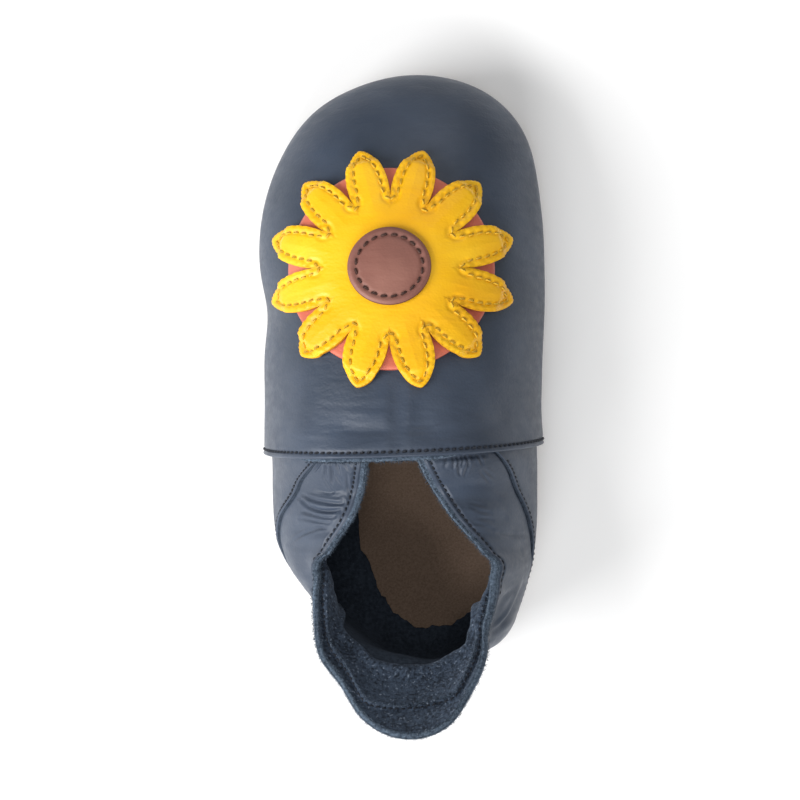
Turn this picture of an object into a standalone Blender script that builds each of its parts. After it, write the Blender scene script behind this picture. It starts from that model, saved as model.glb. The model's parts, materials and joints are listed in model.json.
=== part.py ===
"""The left shoe of a baby's soft-sole pair.

A suede sole with a turned-up margin carries an insole and a leather upper. The upper is one wall:
a vamp dome that is open behind its straight hem, and a lower, gathered ankle piece whose wings run
under that hem and whose collar falls back at the heel. A flower of three leather layers is sewn on
the vamp.

Lengths are millimetres in the last's own axes and become metres when a mesh is made: +Y points to
the toe, +X to the inner side of the left foot, +Z up from the floor.
"""

import math

import bmesh
import bpy
import numpy as np

MM = 0.001

# Driving dimensions of the last
LAST_LENGTH = 127.8
BALL_WIDTH = 61.6
INSTEP_HEIGHT = 43.0
RIDGE_FALL = 0.2
HEEL_BACK_Y = -57.0

# The outline at the wall's widest level, as shares of the length from the heel and of the half width
OUTLINE = (
    # place, along, across
    ("heel back", 0.000, 0.17),
    ("heel outer", 0.070, -0.41),
    ("ankle outer", 0.170, -0.765),
    ("waist outer", 0.331, -0.93),
    ("side outer", 0.560, -0.93),
    ("ball outer", 0.702, -0.98),
    ("toe corner outer", 0.904, -0.70),
    ("toe tip", 1.000, 0.21),
    ("toe corner inner", 0.923, 0.84),
    ("ball inner", 0.687, 1.035),
    ("waist inner", 0.371, 1.015),
    ("ankle inner", 0.174, 0.97),
    ("heel inner", 0.046, 0.65),
)
OUTLINE_SAMPLES = 720

# The ridge that the half sections of toe, sides and heel are drawn towards
SPINE_X = 1.0
TOE_CENTRE_Y = 33.0
HEEL_CENTRE_Y = -31.0
TOE_SPRING = 2.5
TOE_SPRING_START_Y = 44.0

# Sole: suede with its margin turned up to the seam
SOLE_THICKNESS = 2.2
SOLE_INSET = 3.0
MARGIN_WIDTH = 6.0
MARGIN_RISE = 1.4
GAP = 0.3

# Insole
INSOLE_THICKNESS = 1.6
INSOLE_INSET = 7.2

# Upper: section form, wall thickness and the tuck of its foot towards the sole's seam
SECTION_POWER = 2.25
VAMP_WALL = 1.5
ANKLE_WALL = 1.3
CASING_WALL = 2.3
TUCK = 3.4
TUCK_HEIGHT = 11.0
VAMP_FOOT_Z = MARGIN_RISE + SOLE_THICKNESS + GAP
ANKLE_FOOT_Z = VAMP_FOOT_Z + 0.2

# Vamp hem
HEM_Y = -9.4
HEM_BOW = 1.8
HEM_BOW_LENGTH = 26.0
HEM_TURNING = 0.7
HEM_TURNING_LENGTH = 9.0

# Ankle piece: it lies one lap inside the vamp, and its wings run forward under the hem
LAP = 1.0
WING_FRONT_Y = HEM_Y + 9.0
PANEL_STEP = 0.6
LEAN_START_Z = 20.0
UPRIGHT_SHARE = 0.96

# The collar edge: walk is y in mm along the wings and the bearing in degrees round the heel
COLLAR = (
    # walk, reach from the ridge, height, height of the panel seam below
    (WING_FRONT_Y - HEEL_CENTRE_Y, 5.0, None, 37.0),
    (HEM_Y - HEEL_CENTRE_Y, 6.2, None, 34.0),
    (7.6, 9.9, 36.0, 21.5),
    (0.0, 15.4, 33.5, 16.0),
    (-20.0, 18.9, 33.5, 15.0),
    (-39.0, 22.6, 35.5, 15.0),
    (-52.0, 26.3, 38.5, 15.0),
    (-68.0, 29.6, 42.0, 15.5),
    (-79.0, 34.2, 45.5, 16.0),
    (-93.0, 37.2, 47.5, 16.0),
    (-107.0, 36.4, 46.0, 16.0),
    (-119.0, 32.2, 42.5, 15.5),
    (-131.0, 28.3, 39.0, 15.0),
    (-139.0, 25.0, 37.2, 15.0),
    (-148.0, 23.4, 35.9, 15.0),
    (-164.0, 21.4, 34.5, 15.0),
    (-180.0, 18.9, 34.5, 16.0),
    (-187.6, 12.0, 36.5, 21.5),
    (-180.0 - (HEM_Y - HEEL_CENTRE_Y), 4.2, None, 34.0),
    (-180.0 - (WING_FRONT_Y - HEEL_CENTRE_Y), 3.2, None, 37.0),
)
CASING_WIDTH = 14.0
CASING_TOP = 2.5
TAB_START = -56.0
TAB_END = -126.0
TAB_HEIGHT = 6.0

# Flower of three leather layers, sewn on the middle of the vamp
FLOWER_CENTRE = (-0.5, 27.6)
FLOWER_WRAP_RADIUS = 30.0
LEATHER = 1.0
BACKING_RADIUS = 23.0
DRAPE_START = BACKING_RADIUS + 1.2
DRAPE_END = BACKING_RADIUS + 4.0
PETAL_COUNT = 12
PETAL_TIP = 30.0
PETAL_VALLEY = 15.5
PETAL_TIP_POWER = 1.4
PETAL_SIDE_POWER = 0.75
CENTRE_RADIUS = 8.0

# Fineness of the faceted surfaces
SIDE_STATIONS = 9
TOE_STATIONS = 28
HEEL_STATIONS = 30
VAMP_ROWS = 11
POINTS_PER_PETAL = 10


def closed_spline(points, samples):
    """A smooth closed curve through the points: the periodic cubic spline over chord length."""
    points = np.asarray(points, float)
    count = len(points)
    here = np.arange(count)
    after = (here + 1) % count
    gaps = np.linalg.norm(points[after] - points, axis=1)
    before = np.roll(gaps, 1)
    matrix = np.zeros((count, count))
    matrix[here, here - 1] = before / 6
    matrix[here, here] = (before + gaps) / 3
    matrix[here, after] = gaps / 6
    slopes = (points[after] - points) / gaps[:, None]
    bends = np.linalg.solve(matrix, slopes - np.roll(slopes, 1, axis=0))
    knots = np.concatenate([[0.0], np.cumsum(gaps)])
    at = np.linspace(0.0, knots[-1], samples, endpoint=False)
    span = np.searchsorted(knots, at, side="right") - 1
    share = ((at - knots[span]) / gaps[span])[:, None]
    rest = 1 - share
    width = gaps[span][:, None]
    curve = rest * points[span] + share * points[after[span]]
    curve += ((rest**3 - rest) * bends[span] + (share**3 - share) * bends[after[span]]) * width**2 / 6
    return curve


OUTLINE_CURVE = closed_spline(
    [(across * BALL_WIDTH / 2, HEEL_BACK_Y + along * LAST_LENGTH) for _, along, across in OUTLINE],
    OUTLINE_SAMPLES,
)


def reach(target, bearing):
    """How far the outline lies from a point of the ridge, along a bearing in radians."""
    offset = OUTLINE_CURVE - target
    return np.interp(
        bearing,
        np.arctan2(offset[:, 1], offset[:, 0]),
        np.hypot(offset[:, 0], offset[:, 1]),
        period=2 * math.pi,
    )


def smooth_step(low, high, value):
    """0 below low, 1 above high, and a smooth S between them."""
    share = np.clip((value - low) / (high - low), 0.0, 1.0)
    return share * share * (3 - 2 * share)


def ridge_height(y):
    """The vamp's ridge: a straight fall from the instep at the hem to the toe box."""
    return INSTEP_HEIGHT - RIDGE_FALL * (y - HEM_Y)


def toe_spring(y):
    """How far the toe lifts off the floor."""
    share = np.clip((y - TOE_SPRING_START_Y) / (HEEL_BACK_Y + LAST_LENGTH - TOE_SPRING_START_Y), 0.0, 1.0)
    return TOE_SPRING * share**2


class Station:
    """A half section: where it is drawn to on the ridge, its bearing and how far the outline lies."""

    def __init__(self, y, bearing_degrees):
        self.y = y
        self.bearing = math.radians(bearing_degrees)
        self.target = np.array([SPINE_X, y])
        self.way = np.array([math.cos(self.bearing), math.sin(self.bearing)])
        self.reach = reach(self.target, self.bearing)


def toe_stations():
    """The bearings round the toe, from the inner side to the outer one."""
    return [Station(TOE_CENTRE_Y, angle) for angle in np.linspace(0.0, 180.0, TOE_STATIONS + 1)]


def heel_stations():
    """The bearings round the heel, from the outer side to the inner one."""
    return [Station(HEEL_CENTRE_Y, angle) for angle in np.linspace(180.0, 360.0, HEEL_STATIONS + 1)]


def side_stations(bearing_degrees, start_y, end_y, count=SIDE_STATIONS):
    """Half sections along one side, without the first and the last of them."""
    return [Station(y, bearing_degrees) for y in np.linspace(start_y, end_y, count + 1)[1:-1]]


def loop_stations():
    """All half sections in one turn round the shoe."""
    inner = side_stations(0.0, HEEL_CENTRE_Y, TOE_CENTRE_Y, 2 * SIDE_STATIONS)
    outer = side_stations(180.0, TOE_CENTRE_Y, HEEL_CENTRE_Y, 2 * SIDE_STATIONS)
    return heel_stations() + inner + toe_stations() + outer


def part_object(name, material, vertices, faces):
    """A mesh object from vertices in millimetres, with coincident points joined and faces turned out."""
    mesh = bpy.data.meshes.new(name)
    mesh.from_pydata([tuple(v * MM) for v in vertices], [], faces)
    shape = bmesh.new()
    shape.from_mesh(mesh)
    bmesh.ops.remove_doubles(shape, verts=shape.verts, dist=1e-6)
    bmesh.ops.dissolve_degenerate(shape, edges=shape.edges, dist=1e-7)
    bmesh.ops.recalc_face_normals(shape, faces=shape.faces)
    shape.to_mesh(mesh)
    shape.free()
    mesh.shade_smooth()
    mesh.set_sharp_from_angle(angle=math.radians(40))
    mesh.materials.append(material)
    return bpy.data.objects.new(name, mesh)


def grid_faces(rows, columns, closed, first=0):
    """The quads between neighbouring rows of a grid stored row after row."""
    faces = []
    for row in range(rows - 1):
        for column in range(columns if closed else columns - 1):
            beside = (column + 1) % columns
            low = first + row * columns
            high = low + columns
            faces.append((low + column, low + beside, high + beside, high + column))
    return faces


def closed_rings(name, material, rings):
    """A solid from rings that run round the shoe and start and end on the ridge line."""
    rings = np.asarray(rings)
    return part_object(name, material, rings.reshape(-1, 3), grid_faces(*rings.shape[:2], closed=True))


def wall(name, material, outer, inner, crown_closed):
    """A solid wall between an outer and an inner grid, with rims along the grid's open borders."""
    rows, columns = outer.shape[:2]
    inside = rows * columns
    faces = grid_faces(rows, columns, closed=False)
    faces += [face[::-1] for face in grid_faces(rows, columns, closed=False, first=inside)]
    border = [(c, c + 1) for c in range(columns - 1)]
    border += [((r + 1) * columns, r * columns) for r in range(rows - 1)]
    border += [((r + 1) * columns - 1, (r + 2) * columns - 1) for r in range(rows - 1)]
    if not crown_closed:
        last = (rows - 1) * columns
        border += [(last + c + 1, last + c) for c in range(columns - 1)]
    faces += [(b, a, a + inside, b + inside) for a, b in border]
    vertices = np.concatenate([outer.reshape(-1, 3), inner.reshape(-1, 3)])
    return part_object(name, material, vertices, faces)


def margin_rise(from_edge):
    """How far the sole's margin is turned up, by the distance from its edge."""
    return MARGIN_RISE * np.clip(1 - from_edge / MARGIN_WIDTH, 0.0, 1.0) ** 2


def sole_ring(stations, inset, height):
    """A ring round the sole at a distance in from its edge, height above its bottom skin."""
    ring = []
    for station in stations:
        edge = station.reach - SOLE_INSET
        distance = max(edge - inset, 0.0)
        place = station.target + station.way * distance
        z = margin_rise(edge - distance) + height + toe_spring(place[1])
        ring.append((*place, z))
    return ring


def build_sole(material):
    """The outsole: flat under heel and ball, with a rounded rim on its turned-up margin."""
    stations = loop_stations()
    middle = BALL_WIDTH
    rings = (
        # distance in from the edge, height above the bottom skin
        (middle, 0.0),
        (MARGIN_WIDTH, 0.0),
        (0.5 * MARGIN_WIDTH, 0.0),
        (0.5, 0.0),
        (0.0, 0.35 * SOLE_THICKNESS),
        (0.0, 0.75 * SOLE_THICKNESS),
        (0.3, SOLE_THICKNESS),
        (0.5 * MARGIN_WIDTH, SOLE_THICKNESS),
        (MARGIN_WIDTH, SOLE_THICKNESS),
        (middle, SOLE_THICKNESS),
    )
    return closed_rings("outsole", material, [sole_ring(stations, *ring) for ring in rings])


def build_insole(material):
    """The insole: a thinner sheet that lies on the sole inside the upper's wall."""
    stations = loop_stations()
    bottom = SOLE_THICKNESS + GAP
    top = bottom + INSOLE_THICKNESS
    edge = INSOLE_INSET - SOLE_INSET
    middle = BALL_WIDTH
    rings = (
        (middle, bottom),
        (MARGIN_WIDTH, bottom),
        (edge, bottom),
        (edge, top - 0.4),
        (edge + 0.4, top),
        (MARGIN_WIDTH, top),
        (middle, top),
    )
    return closed_rings("insole", material, [sole_ring(stations, *ring) for ring in rings])


def tucked(distance, z, foot_z):
    """The wall's foot drawn in to the sole's seam."""
    return distance - TUCK * np.clip(1 - (z - foot_z) / TUCK_HEIGHT, 0.0, 1.0) ** 2


def vamp_point(station, angle, inset, hem_turning):
    """A point of the vamp's section: a superellipse from the sole's seam (0) to the ridge (a right angle)."""
    flare = hem_turning * float(smooth_step(HEM_TURNING_LENGTH, 0.0, station.y - HEM_Y) * smooth_step(0.0, 0.5, angle))
    distance = (station.reach + flare - inset) * math.cos(angle) ** (2 / SECTION_POWER)
    y = station.y + station.way[1] * distance
    height = ridge_height(y) - VAMP_FOOT_Z - inset
    z = VAMP_FOOT_Z + height * math.sin(angle) ** (2 / SECTION_POWER)
    x, y = station.target + station.way * tucked(distance, z, VAMP_FOOT_Z)
    bow = HEM_BOW * math.sin(angle) * float(smooth_step(HEM_BOW_LENGTH, 0.0, station.y - HEM_Y))
    return np.array([x, y - bow, z + toe_spring(y)])


def vamp_wall(material):
    """The dome over toes and instep, open below and behind its hem."""
    outer_side = [Station(HEM_Y, 180.0)] + side_stations(180.0, HEM_Y, TOE_CENTRE_Y)
    inner_side = [Station(s.y, 0.0) for s in reversed(outer_side)]
    stations = outer_side + toe_stations()[::-1] + inner_side
    angles = np.linspace(0.0, math.pi / 2, VAMP_ROWS)
    angles[-1] = math.pi / 2 - 1e-9
    outer = np.array([[vamp_point(s, a, 0.0, HEM_TURNING) for s in stations] for a in angles])
    inner = np.array([[vamp_point(s, a, VAMP_WALL, 0.0) for s in stations] for a in angles])
    for grid in (outer, inner):
        grid[-1] = [(SPINE_X, y, z) for _, y, z in grid[-1]]
    return wall("vamp", material, outer, inner, crown_closed=True)


def collar_column(column, walk):
    """A column of the collar table at a place of the walk, eased between its rows."""
    known = [row for row in COLLAR if row[column] is not None]
    walks = np.array([-row[0] for row in known])
    values = np.array([row[column] for row in known], float)
    slopes = np.gradient(values, walks)
    at = np.clip(-walk, walks[0], walks[-1])
    i = int(np.clip(np.searchsorted(walks, at) - 1, 0, len(walks) - 2))
    width = walks[i + 1] - walks[i]
    t = (at - walks[i]) / width
    start = (1 + 2 * t) * values[i] + t * width * slopes[i]
    end = (3 - 2 * t) * values[i + 1] + (t - 1) * width * slopes[i + 1]
    return (1 - t) ** 2 * start + t * t * end


class AnkleProfile:
    """The ankle piece's wall at one place: a superellipse that stops at the collar, leaned out at the heel."""

    def __init__(self, station, walk):
        self.station = station
        self.full = station.reach - LAP
        collar_reach = collar_column(1, walk)
        upright = min(collar_reach, UPRIGHT_SHARE * self.full)
        self.lean = collar_reach - upright
        self.end_angle = math.acos((upright / self.full) ** (SECTION_POWER / 2))
        top_sine = math.sin(self.end_angle) ** (2 / SECTION_POWER)
        under_vamp = ridge_height(station.y) - LAP - ANKLE_FOOT_Z
        free = collar_column(2, walk) - ANKLE_FOOT_Z
        share = float(smooth_step(HEM_Y - 10.0, HEM_Y - 1.0, station.y))
        self.height = share * under_vamp + (1 - share) * free / top_sine
        self.collar_z = ANKLE_FOOT_Z + self.height * top_sine
        self.seam_z = min(collar_column(3, walk), self.collar_z - 4.0)
        self.step = PANEL_STEP * float(smooth_step(HEM_Y - 1.0, HEM_Y - 5.0, station.y))

    def at_angle(self, angle):
        """Distance from the ridge and height at an angle of the superellipse."""
        z = ANKLE_FOOT_Z + self.height * math.sin(angle) ** (2 / SECTION_POWER)
        distance = self.full * math.cos(angle) ** (2 / SECTION_POWER)
        rise = np.clip((z - LEAN_START_Z) / (self.collar_z - LEAN_START_Z), 0.0, 1.0)
        return tucked(distance, z, ANKLE_FOOT_Z) + self.lean * rise**2, z

    def angle_at_height(self, z):
        """The angle of the superellipse at a height."""
        share = np.clip((z - ANKLE_FOOT_Z) / self.height, 0.0, 1.0)
        return min(math.asin(share ** (SECTION_POWER / 2)), self.end_angle)

    def rows(self):
        """Angles of the wall's rows, and how far each row of the upper panel is set in."""
        seam = self.angle_at_height(self.seam_z)
        span = self.end_angle - seam
        below = [(seam * share, 0.0) for share in (0.0, 0.12, 0.28, 0.5, 0.75, 0.98)]
        above = [(seam + span * share, self.step) for share in (0.0, 0.2, 0.4, 0.58, 0.72, 0.86, 1.0)]
        return below + above


def ankle_stations():
    """Half sections with their walk, from the outer wing's front round the heel to the inner wing's front."""
    wing = np.linspace(WING_FRONT_Y, HEEL_CENTRE_Y, SIDE_STATIONS + 2)[:-1]
    outer = [(Station(y, 180.0), y - HEEL_CENTRE_Y) for y in wing]
    heel = [(s, 180.0 - math.degrees(s.bearing)) for s in heel_stations()]
    inner = [(Station(y, 0.0), -180.0 - (y - HEEL_CENTRE_Y)) for y in wing[::-1]]
    return outer + heel + inner


def ankle_wall(material):
    """The gathered ankle piece: a lower panel, an upper panel set one step in, and a thicker elastic casing."""
    columns_outer, columns_inner = [], []
    for station, walk in ankle_stations():
        profile = AnkleProfile(station, walk)
        rows = profile.rows()
        smooth = np.array([profile.at_angle(angle) for angle, _ in rows])
        along = np.gradient(smooth, axis=0)
        normals = np.stack([along[:, 1], -along[:, 0]], axis=1)
        normals /= np.linalg.norm(normals, axis=1)[:, None]
        steps = np.array([step for _, step in rows])[:, None]
        length = np.concatenate([[0.0], np.cumsum(np.linalg.norm(np.diff(smooth, axis=0), axis=1))])
        from_top = length[-1] - length
        tab = TAB_HEIGHT * math.sin(math.pi * np.clip((walk - TAB_START) / (TAB_END - TAB_START), 0, 1)) ** 2
        casing = smooth_step(CASING_TOP + tab - 2.0, CASING_TOP + tab, from_top)
        casing *= smooth_step(CASING_WIDTH + tab + 1.0, CASING_WIDTH + tab - 1.0, from_top)
        thickness = (ANKLE_WALL + (CASING_WALL - ANKLE_WALL) * casing)[:, None]
        for columns, offset in ((columns_outer, steps), (columns_inner, thickness + PANEL_STEP)):
            profile_points = smooth - normals * offset
            place = station.target + station.way * profile_points[:, :1]
            columns.append(np.concatenate([place, profile_points[:, 1:]], axis=1))
    outer = np.array(columns_outer).transpose(1, 0, 2)
    inner = np.array(columns_inner).transpose(1, 0, 2)
    return wall("ankle_piece", material, outer, inner, crown_closed=False)


def build_upper(material, collection, cutters):
    """Vamp and ankle piece joined into one hollow wall where the wings run under the hem."""
    upper = vamp_wall(material)
    upper.name = "upper"
    ankle = ankle_wall(material)
    collection.objects.link(upper)
    cutters.objects.link(ankle)
    ankle.hide_render = True
    ankle.display_type = "WIRE"
    join = upper.modifiers.new("sewn", "BOOLEAN")
    join.operation = "UNION"
    join.solver = "EXACT"
    join.object = ankle
    return upper, ankle


def vamp_height(x, y):
    """The vamp's outer skin over a point of the plan."""
    target = np.array([SPINE_X, min(y, TOE_CENTRE_Y)])
    offset = np.array([x, y]) - target
    share = math.hypot(*offset) / reach(target, math.atan2(offset[1], offset[0]))
    rise = max(1 - share**SECTION_POWER, 0.0) ** (1 / SECTION_POWER)
    return VAMP_FOOT_Z + (ridge_height(y) - VAMP_FOOT_Z) * rise + toe_spring(y)


def on_vamp(radius, angle, lift):
    """A point of the flower's leather, laid round the vamp's dome and lifted off its skin."""
    spread = FLOWER_WRAP_RADIUS * math.sin(radius / FLOWER_WRAP_RADIUS)
    x = FLOWER_CENTRE[0] + spread * math.cos(angle)
    y = FLOWER_CENTRE[1] + spread * math.sin(angle)
    small = 0.2
    slope_x = (vamp_height(x + small, y) - vamp_height(x - small, y)) / (2 * small)
    slope_y = (vamp_height(x, y + small) - vamp_height(x, y - small)) / (2 * small)
    normal = np.array([-slope_x, -slope_y, 1.0])
    normal /= np.linalg.norm(normal)
    return np.array([x, y, vamp_height(x, y)]) + normal * lift


def leather_layer(name, material, points_round, ring_radii, edge_radius, lift):
    """A thin piece of leather on the vamp: rings cut off at edge_radius, lifted off the skin by radius."""
    angles = np.linspace(0.0, 2 * math.pi, points_round, endpoint=False)
    bottom, top = [], []
    for ring in ring_radii:
        radii = [min(ring, edge_radius(angle)) for angle in angles]
        bottom.append([on_vamp(r, a, lift(r)) for r, a in zip(radii, angles)])
        top.append([on_vamp(r, a, lift(r) + LEATHER) for r, a in zip(radii, angles)])
    return closed_rings(name, material, bottom + top[::-1])


def petal_edge(angle):
    """The petals' outline: pointed lobes between the valley and the tip radius."""
    phase = (angle * PETAL_COUNT / (2 * math.pi)) % 1.0
    lobe = (1 - abs(2 * phase - 1) ** PETAL_TIP_POWER) ** PETAL_SIDE_POWER
    return PETAL_VALLEY + (PETAL_TIP - PETAL_VALLEY) * lobe


def petal_lift(radius):
    """The petals lie on the backing and come down to the vamp past its edge."""
    drop = float(smooth_step(DRAPE_START, DRAPE_END, radius))
    return GAP + (LEATHER + GAP) * (1 - drop)


def leather(name, colour, roughness):
    """A plain leather finish."""
    material = bpy.data.materials.new(name)
    material.use_nodes = True
    shader = material.node_tree.nodes["Principled BSDF"]
    shader.inputs["Base Color"].default_value = (*colour, 1.0)
    shader.inputs["Roughness"].default_value = roughness
    shader.inputs["Metallic"].default_value = 0.0
    return material


def stand_on_origin(parts, root):
    """Moves the root so that the shoe's box stands on the origin with its middle."""
    bpy.context.view_layer.update()
    graph = bpy.context.evaluated_depsgraph_get()
    corners = np.array([tuple(c) for p in parts for c in p.evaluated_get(graph).bound_box])
    low, high = corners.min(axis=0), corners.max(axis=0)
    root.location = (-(low[0] + high[0]) / 2, -(low[1] + high[1]) / 2, -low[2])


def main():
    for old in list(bpy.data.objects):
        bpy.data.objects.remove(old)
    scene = bpy.context.scene.collection
    shoe = bpy.data.collections.new("soft_sole_shoe")
    cutters = bpy.data.collections.new("joined_shapes")
    scene.children.link(shoe)
    scene.children.link(cutters)

    navy = leather("navy_leather", (0.050, 0.062, 0.085), 0.45)
    suede = leather("suede_sole", (0.30, 0.22, 0.15), 0.95)
    tan = leather("insole_tan", (0.42, 0.30, 0.20), 0.9)
    coral = leather("coral_leather", (0.66, 0.19, 0.12), 0.5)
    yellow = leather("yellow_leather", (0.95, 0.52, 0.01), 0.45)
    brown = leather("brown_leather", (0.25, 0.11, 0.085), 0.55)

    upper, ankle = build_upper(navy, shoe, cutters)
    around = PETAL_COUNT * POINTS_PER_PETAL
    on_backing = petal_lift(0.0) + LEATHER + GAP
    inner_rings = (0.0, 0.5 * PETAL_VALLEY, PETAL_VALLEY, 0.5 * (PETAL_VALLEY + BACKING_RADIUS))
    backing_rings = (*inner_rings, BACKING_RADIUS)
    petal_rings = (*inner_rings, DRAPE_START, DRAPE_END, PETAL_TIP)
    centre_rings = np.linspace(0.0, CENTRE_RADIUS, 3)
    others = [
        build_sole(suede),
        build_insole(tan),
        leather_layer(
            "flower_backing", coral, 48, backing_rings, lambda angle: BACKING_RADIUS, lambda radius: GAP
        ),
        leather_layer("flower_petals", yellow, around, petal_rings, petal_edge, petal_lift),
        leather_layer(
            "flower_centre", brown, 32, centre_rings, lambda angle: CENTRE_RADIUS, lambda radius: on_backing
        ),
    ]
    root = bpy.data.objects.new("shoe", None)
    shoe.objects.link(root)
    for part in others:
        shoe.objects.link(part)
    parts = [upper] + others
    for part in parts + [ankle]:
        part.parent = root
    stand_on_origin(parts, root)


main()
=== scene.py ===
"""One left soft-sole baby shoe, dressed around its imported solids.

Shapes are worked out in millimetres in the last's own axes (+Y to the toe, +X to the inner side of
the left foot, +Z up from the floor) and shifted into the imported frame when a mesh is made.
"""

import json
import math

import bmesh
import bpy
import numpy as np
from mathutils import Matrix, Vector

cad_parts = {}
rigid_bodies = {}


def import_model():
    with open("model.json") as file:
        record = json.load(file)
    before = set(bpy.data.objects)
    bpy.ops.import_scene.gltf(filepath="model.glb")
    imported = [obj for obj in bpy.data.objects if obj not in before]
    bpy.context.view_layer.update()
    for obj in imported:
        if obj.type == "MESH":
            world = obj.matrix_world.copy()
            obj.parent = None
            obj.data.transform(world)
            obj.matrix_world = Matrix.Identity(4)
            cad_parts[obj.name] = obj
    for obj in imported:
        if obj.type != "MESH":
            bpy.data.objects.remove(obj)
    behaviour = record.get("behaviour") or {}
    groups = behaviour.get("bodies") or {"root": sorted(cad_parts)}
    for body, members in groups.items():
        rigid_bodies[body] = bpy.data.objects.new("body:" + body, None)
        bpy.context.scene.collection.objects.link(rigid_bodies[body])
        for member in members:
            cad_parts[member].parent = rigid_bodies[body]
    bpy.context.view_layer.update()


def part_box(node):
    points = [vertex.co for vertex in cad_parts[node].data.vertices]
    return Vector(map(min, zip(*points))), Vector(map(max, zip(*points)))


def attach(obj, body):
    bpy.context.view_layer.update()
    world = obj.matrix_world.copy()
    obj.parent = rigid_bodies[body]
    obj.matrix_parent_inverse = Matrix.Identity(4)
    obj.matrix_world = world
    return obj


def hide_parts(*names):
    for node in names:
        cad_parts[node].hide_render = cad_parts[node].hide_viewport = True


for old in list(bpy.data.objects):
    bpy.data.objects.remove(old)
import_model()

# Outsole
# A suede sole, cut to the foot's outline. It is sewn to the upper inside out and turned, so its margin
# comes up all round as a soft puckered rim, and its flat nap stands on the floor.

MM = 0.001
LAST_LENGTH = 127.8
BALL_WIDTH = 61.6
HEEL_BACK_Y = -57.0
SPINE_X = 1.0
TOE_CENTRE_Y = 33.0
HEEL_CENTRE_Y = -31.0
OUTLINE = (
    # share of the length from the heel, share of the half width
    (0.000, 0.17),
    (0.070, -0.41),
    (0.170, -0.765),
    (0.331, -0.93),
    (0.560, -0.93),
    (0.702, -0.98),
    (0.904, -0.70),
    (1.000, 0.21),
    (0.923, 0.84),
    (0.687, 1.035),
    (0.371, 1.015),
    (0.174, 0.97),
    (0.046, 0.65),
)
TOE_SPRING = 2.5
TOE_SPRING_START_Y = 44.0
SOLE_THICKNESS = 2.2
SOLE_INSET = 3.0
MARGIN_WIDTH = 6.0
MARGIN_RISE = 1.4
PUCKER_PITCH = 3.6
PUCKER_DEPTH = 0.16
PUCKER_IN = 1.5
PUCKER_SPREAD = 2.0
PUCKER_GAIN = 1.6
OUTLINE_POINTS = 1440
SOLE_MIDDLE = BALL_WIDTH
FOOT_ROUND, FOOT_ROUND_HEIGHT = 0.7, 0.8
RIM_ROUND, RIM_ROUND_HEIGHT = 0.5, 0.7
SMALL_HOLE_SIDES = 10


def closed_spline(points, samples):
    """A smooth closed curve through the points: the periodic cubic spline over chord length."""
    count = len(points)
    here = np.arange(count)
    after = (here + 1) % count
    gaps = np.linalg.norm(points[after] - points, axis=1)
    before = np.roll(gaps, 1)
    matrix = np.zeros((count, count))
    matrix[here, here - 1] = before / 6
    matrix[here, here] = (before + gaps) / 3
    matrix[here, after] = gaps / 6
    slopes = (points[after] - points) / gaps[:, None]
    bends = np.linalg.solve(matrix, slopes - np.roll(slopes, 1, axis=0))
    knots = np.concatenate([[0.0], np.cumsum(gaps)])
    at = np.linspace(0.0, knots[-1], samples, endpoint=False)
    span = np.searchsorted(knots, at, side="right") - 1
    width = gaps[span][:, None]
    share = (at - knots[span])[:, None] / width
    rest = 1 - share
    curve = rest * points[span] + share * points[after[span]]
    return curve + ((rest**3 - rest) * bends[span] + (share**3 - share) * bends[after[span]]) * width**2 / 6


outline_knots = np.array(OUTLINE)[:, ::-1] * (BALL_WIDTH / 2, LAST_LENGTH) + (0.0, HEEL_BACK_Y)
outline = closed_spline(outline_knots, OUTLINE_POINTS)


def polar_reach(centre_y, bearing):
    """How far the outline lies from a point of the spine, read off in polar form round that point."""
    offset = outline - (SPINE_X, centre_y)
    angles = np.arctan2(offset[:, 1], offset[:, 0])
    return np.interp(bearing, angles, np.hypot(offset[:, 0], offset[:, 1]), period=2 * math.pi)


def side_reach(y, inner):
    """How far the outline lies from the spine straight across, on the inner or the outer side."""
    side = outline[(outline[:, 0] > SPINE_X + 4) == inner]
    side = side[np.argsort(side[:, 1])]
    return np.abs(np.interp(y, side[:, 1], side[:, 0]) - SPINE_X)


def reach(y, bearing):
    """Reach of the outline: polar round the toe and heel centres, straight across between them."""
    across = np.where(np.cos(bearing) > 0, side_reach(y, True), side_reach(y, False))
    toe, heel = polar_reach(TOE_CENTRE_Y, bearing), polar_reach(HEEL_CENTRE_Y, bearing)
    return np.where(np.abs(np.sin(bearing)) < 1e-9, across, np.where(np.sin(bearing) > 0, toe, heel))


def bell(distance, width):
    """A soft bump: 1 in the middle, falling as the square of the distance over the width."""
    return np.exp(-((distance / width) ** 2))


def toe_spring(y):
    """How far the toe lifts off the floor: a square law from where it starts to the toe's tip."""
    full = HEEL_BACK_Y + LAST_LENGTH - TOE_SPRING_START_Y
    return TOE_SPRING * np.clip((y - TOE_SPRING_START_Y) / full, 0.0, 1.0) ** 2


def turn(*legs):
    """Half sections along legs of (start y, end y, start degrees, end degrees, count), ends not repeated."""
    y = np.concatenate([np.linspace(a, b, n, endpoint=False) for a, b, _, _, n in legs])
    bearing = np.radians(np.concatenate([np.linspace(a, b, n, endpoint=False) for _, _, a, b, n in legs]))
    return y, bearing, reach(y, bearing)


def quads_between(rows, columns, closed=False):
    """Corner numbers of the quads between neighbouring rows of a grid that is stored row after row."""
    row = np.arange(rows - 1)[:, None] * columns
    column = np.arange(columns if closed else columns - 1)[None, :]
    beside = (column + 1) % columns
    corners = (row + column, row + beside, row + columns + beside, row + columns + column)
    return np.stack(np.broadcast_arrays(*corners), axis=-1).reshape(-1, 4)


def run_along(path):
    """Running length along a path's points: the sum of the steps so far."""
    return np.concatenate([[0.0], np.cumsum(np.linalg.norm(np.diff(path, axis=0), axis=1))])


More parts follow.
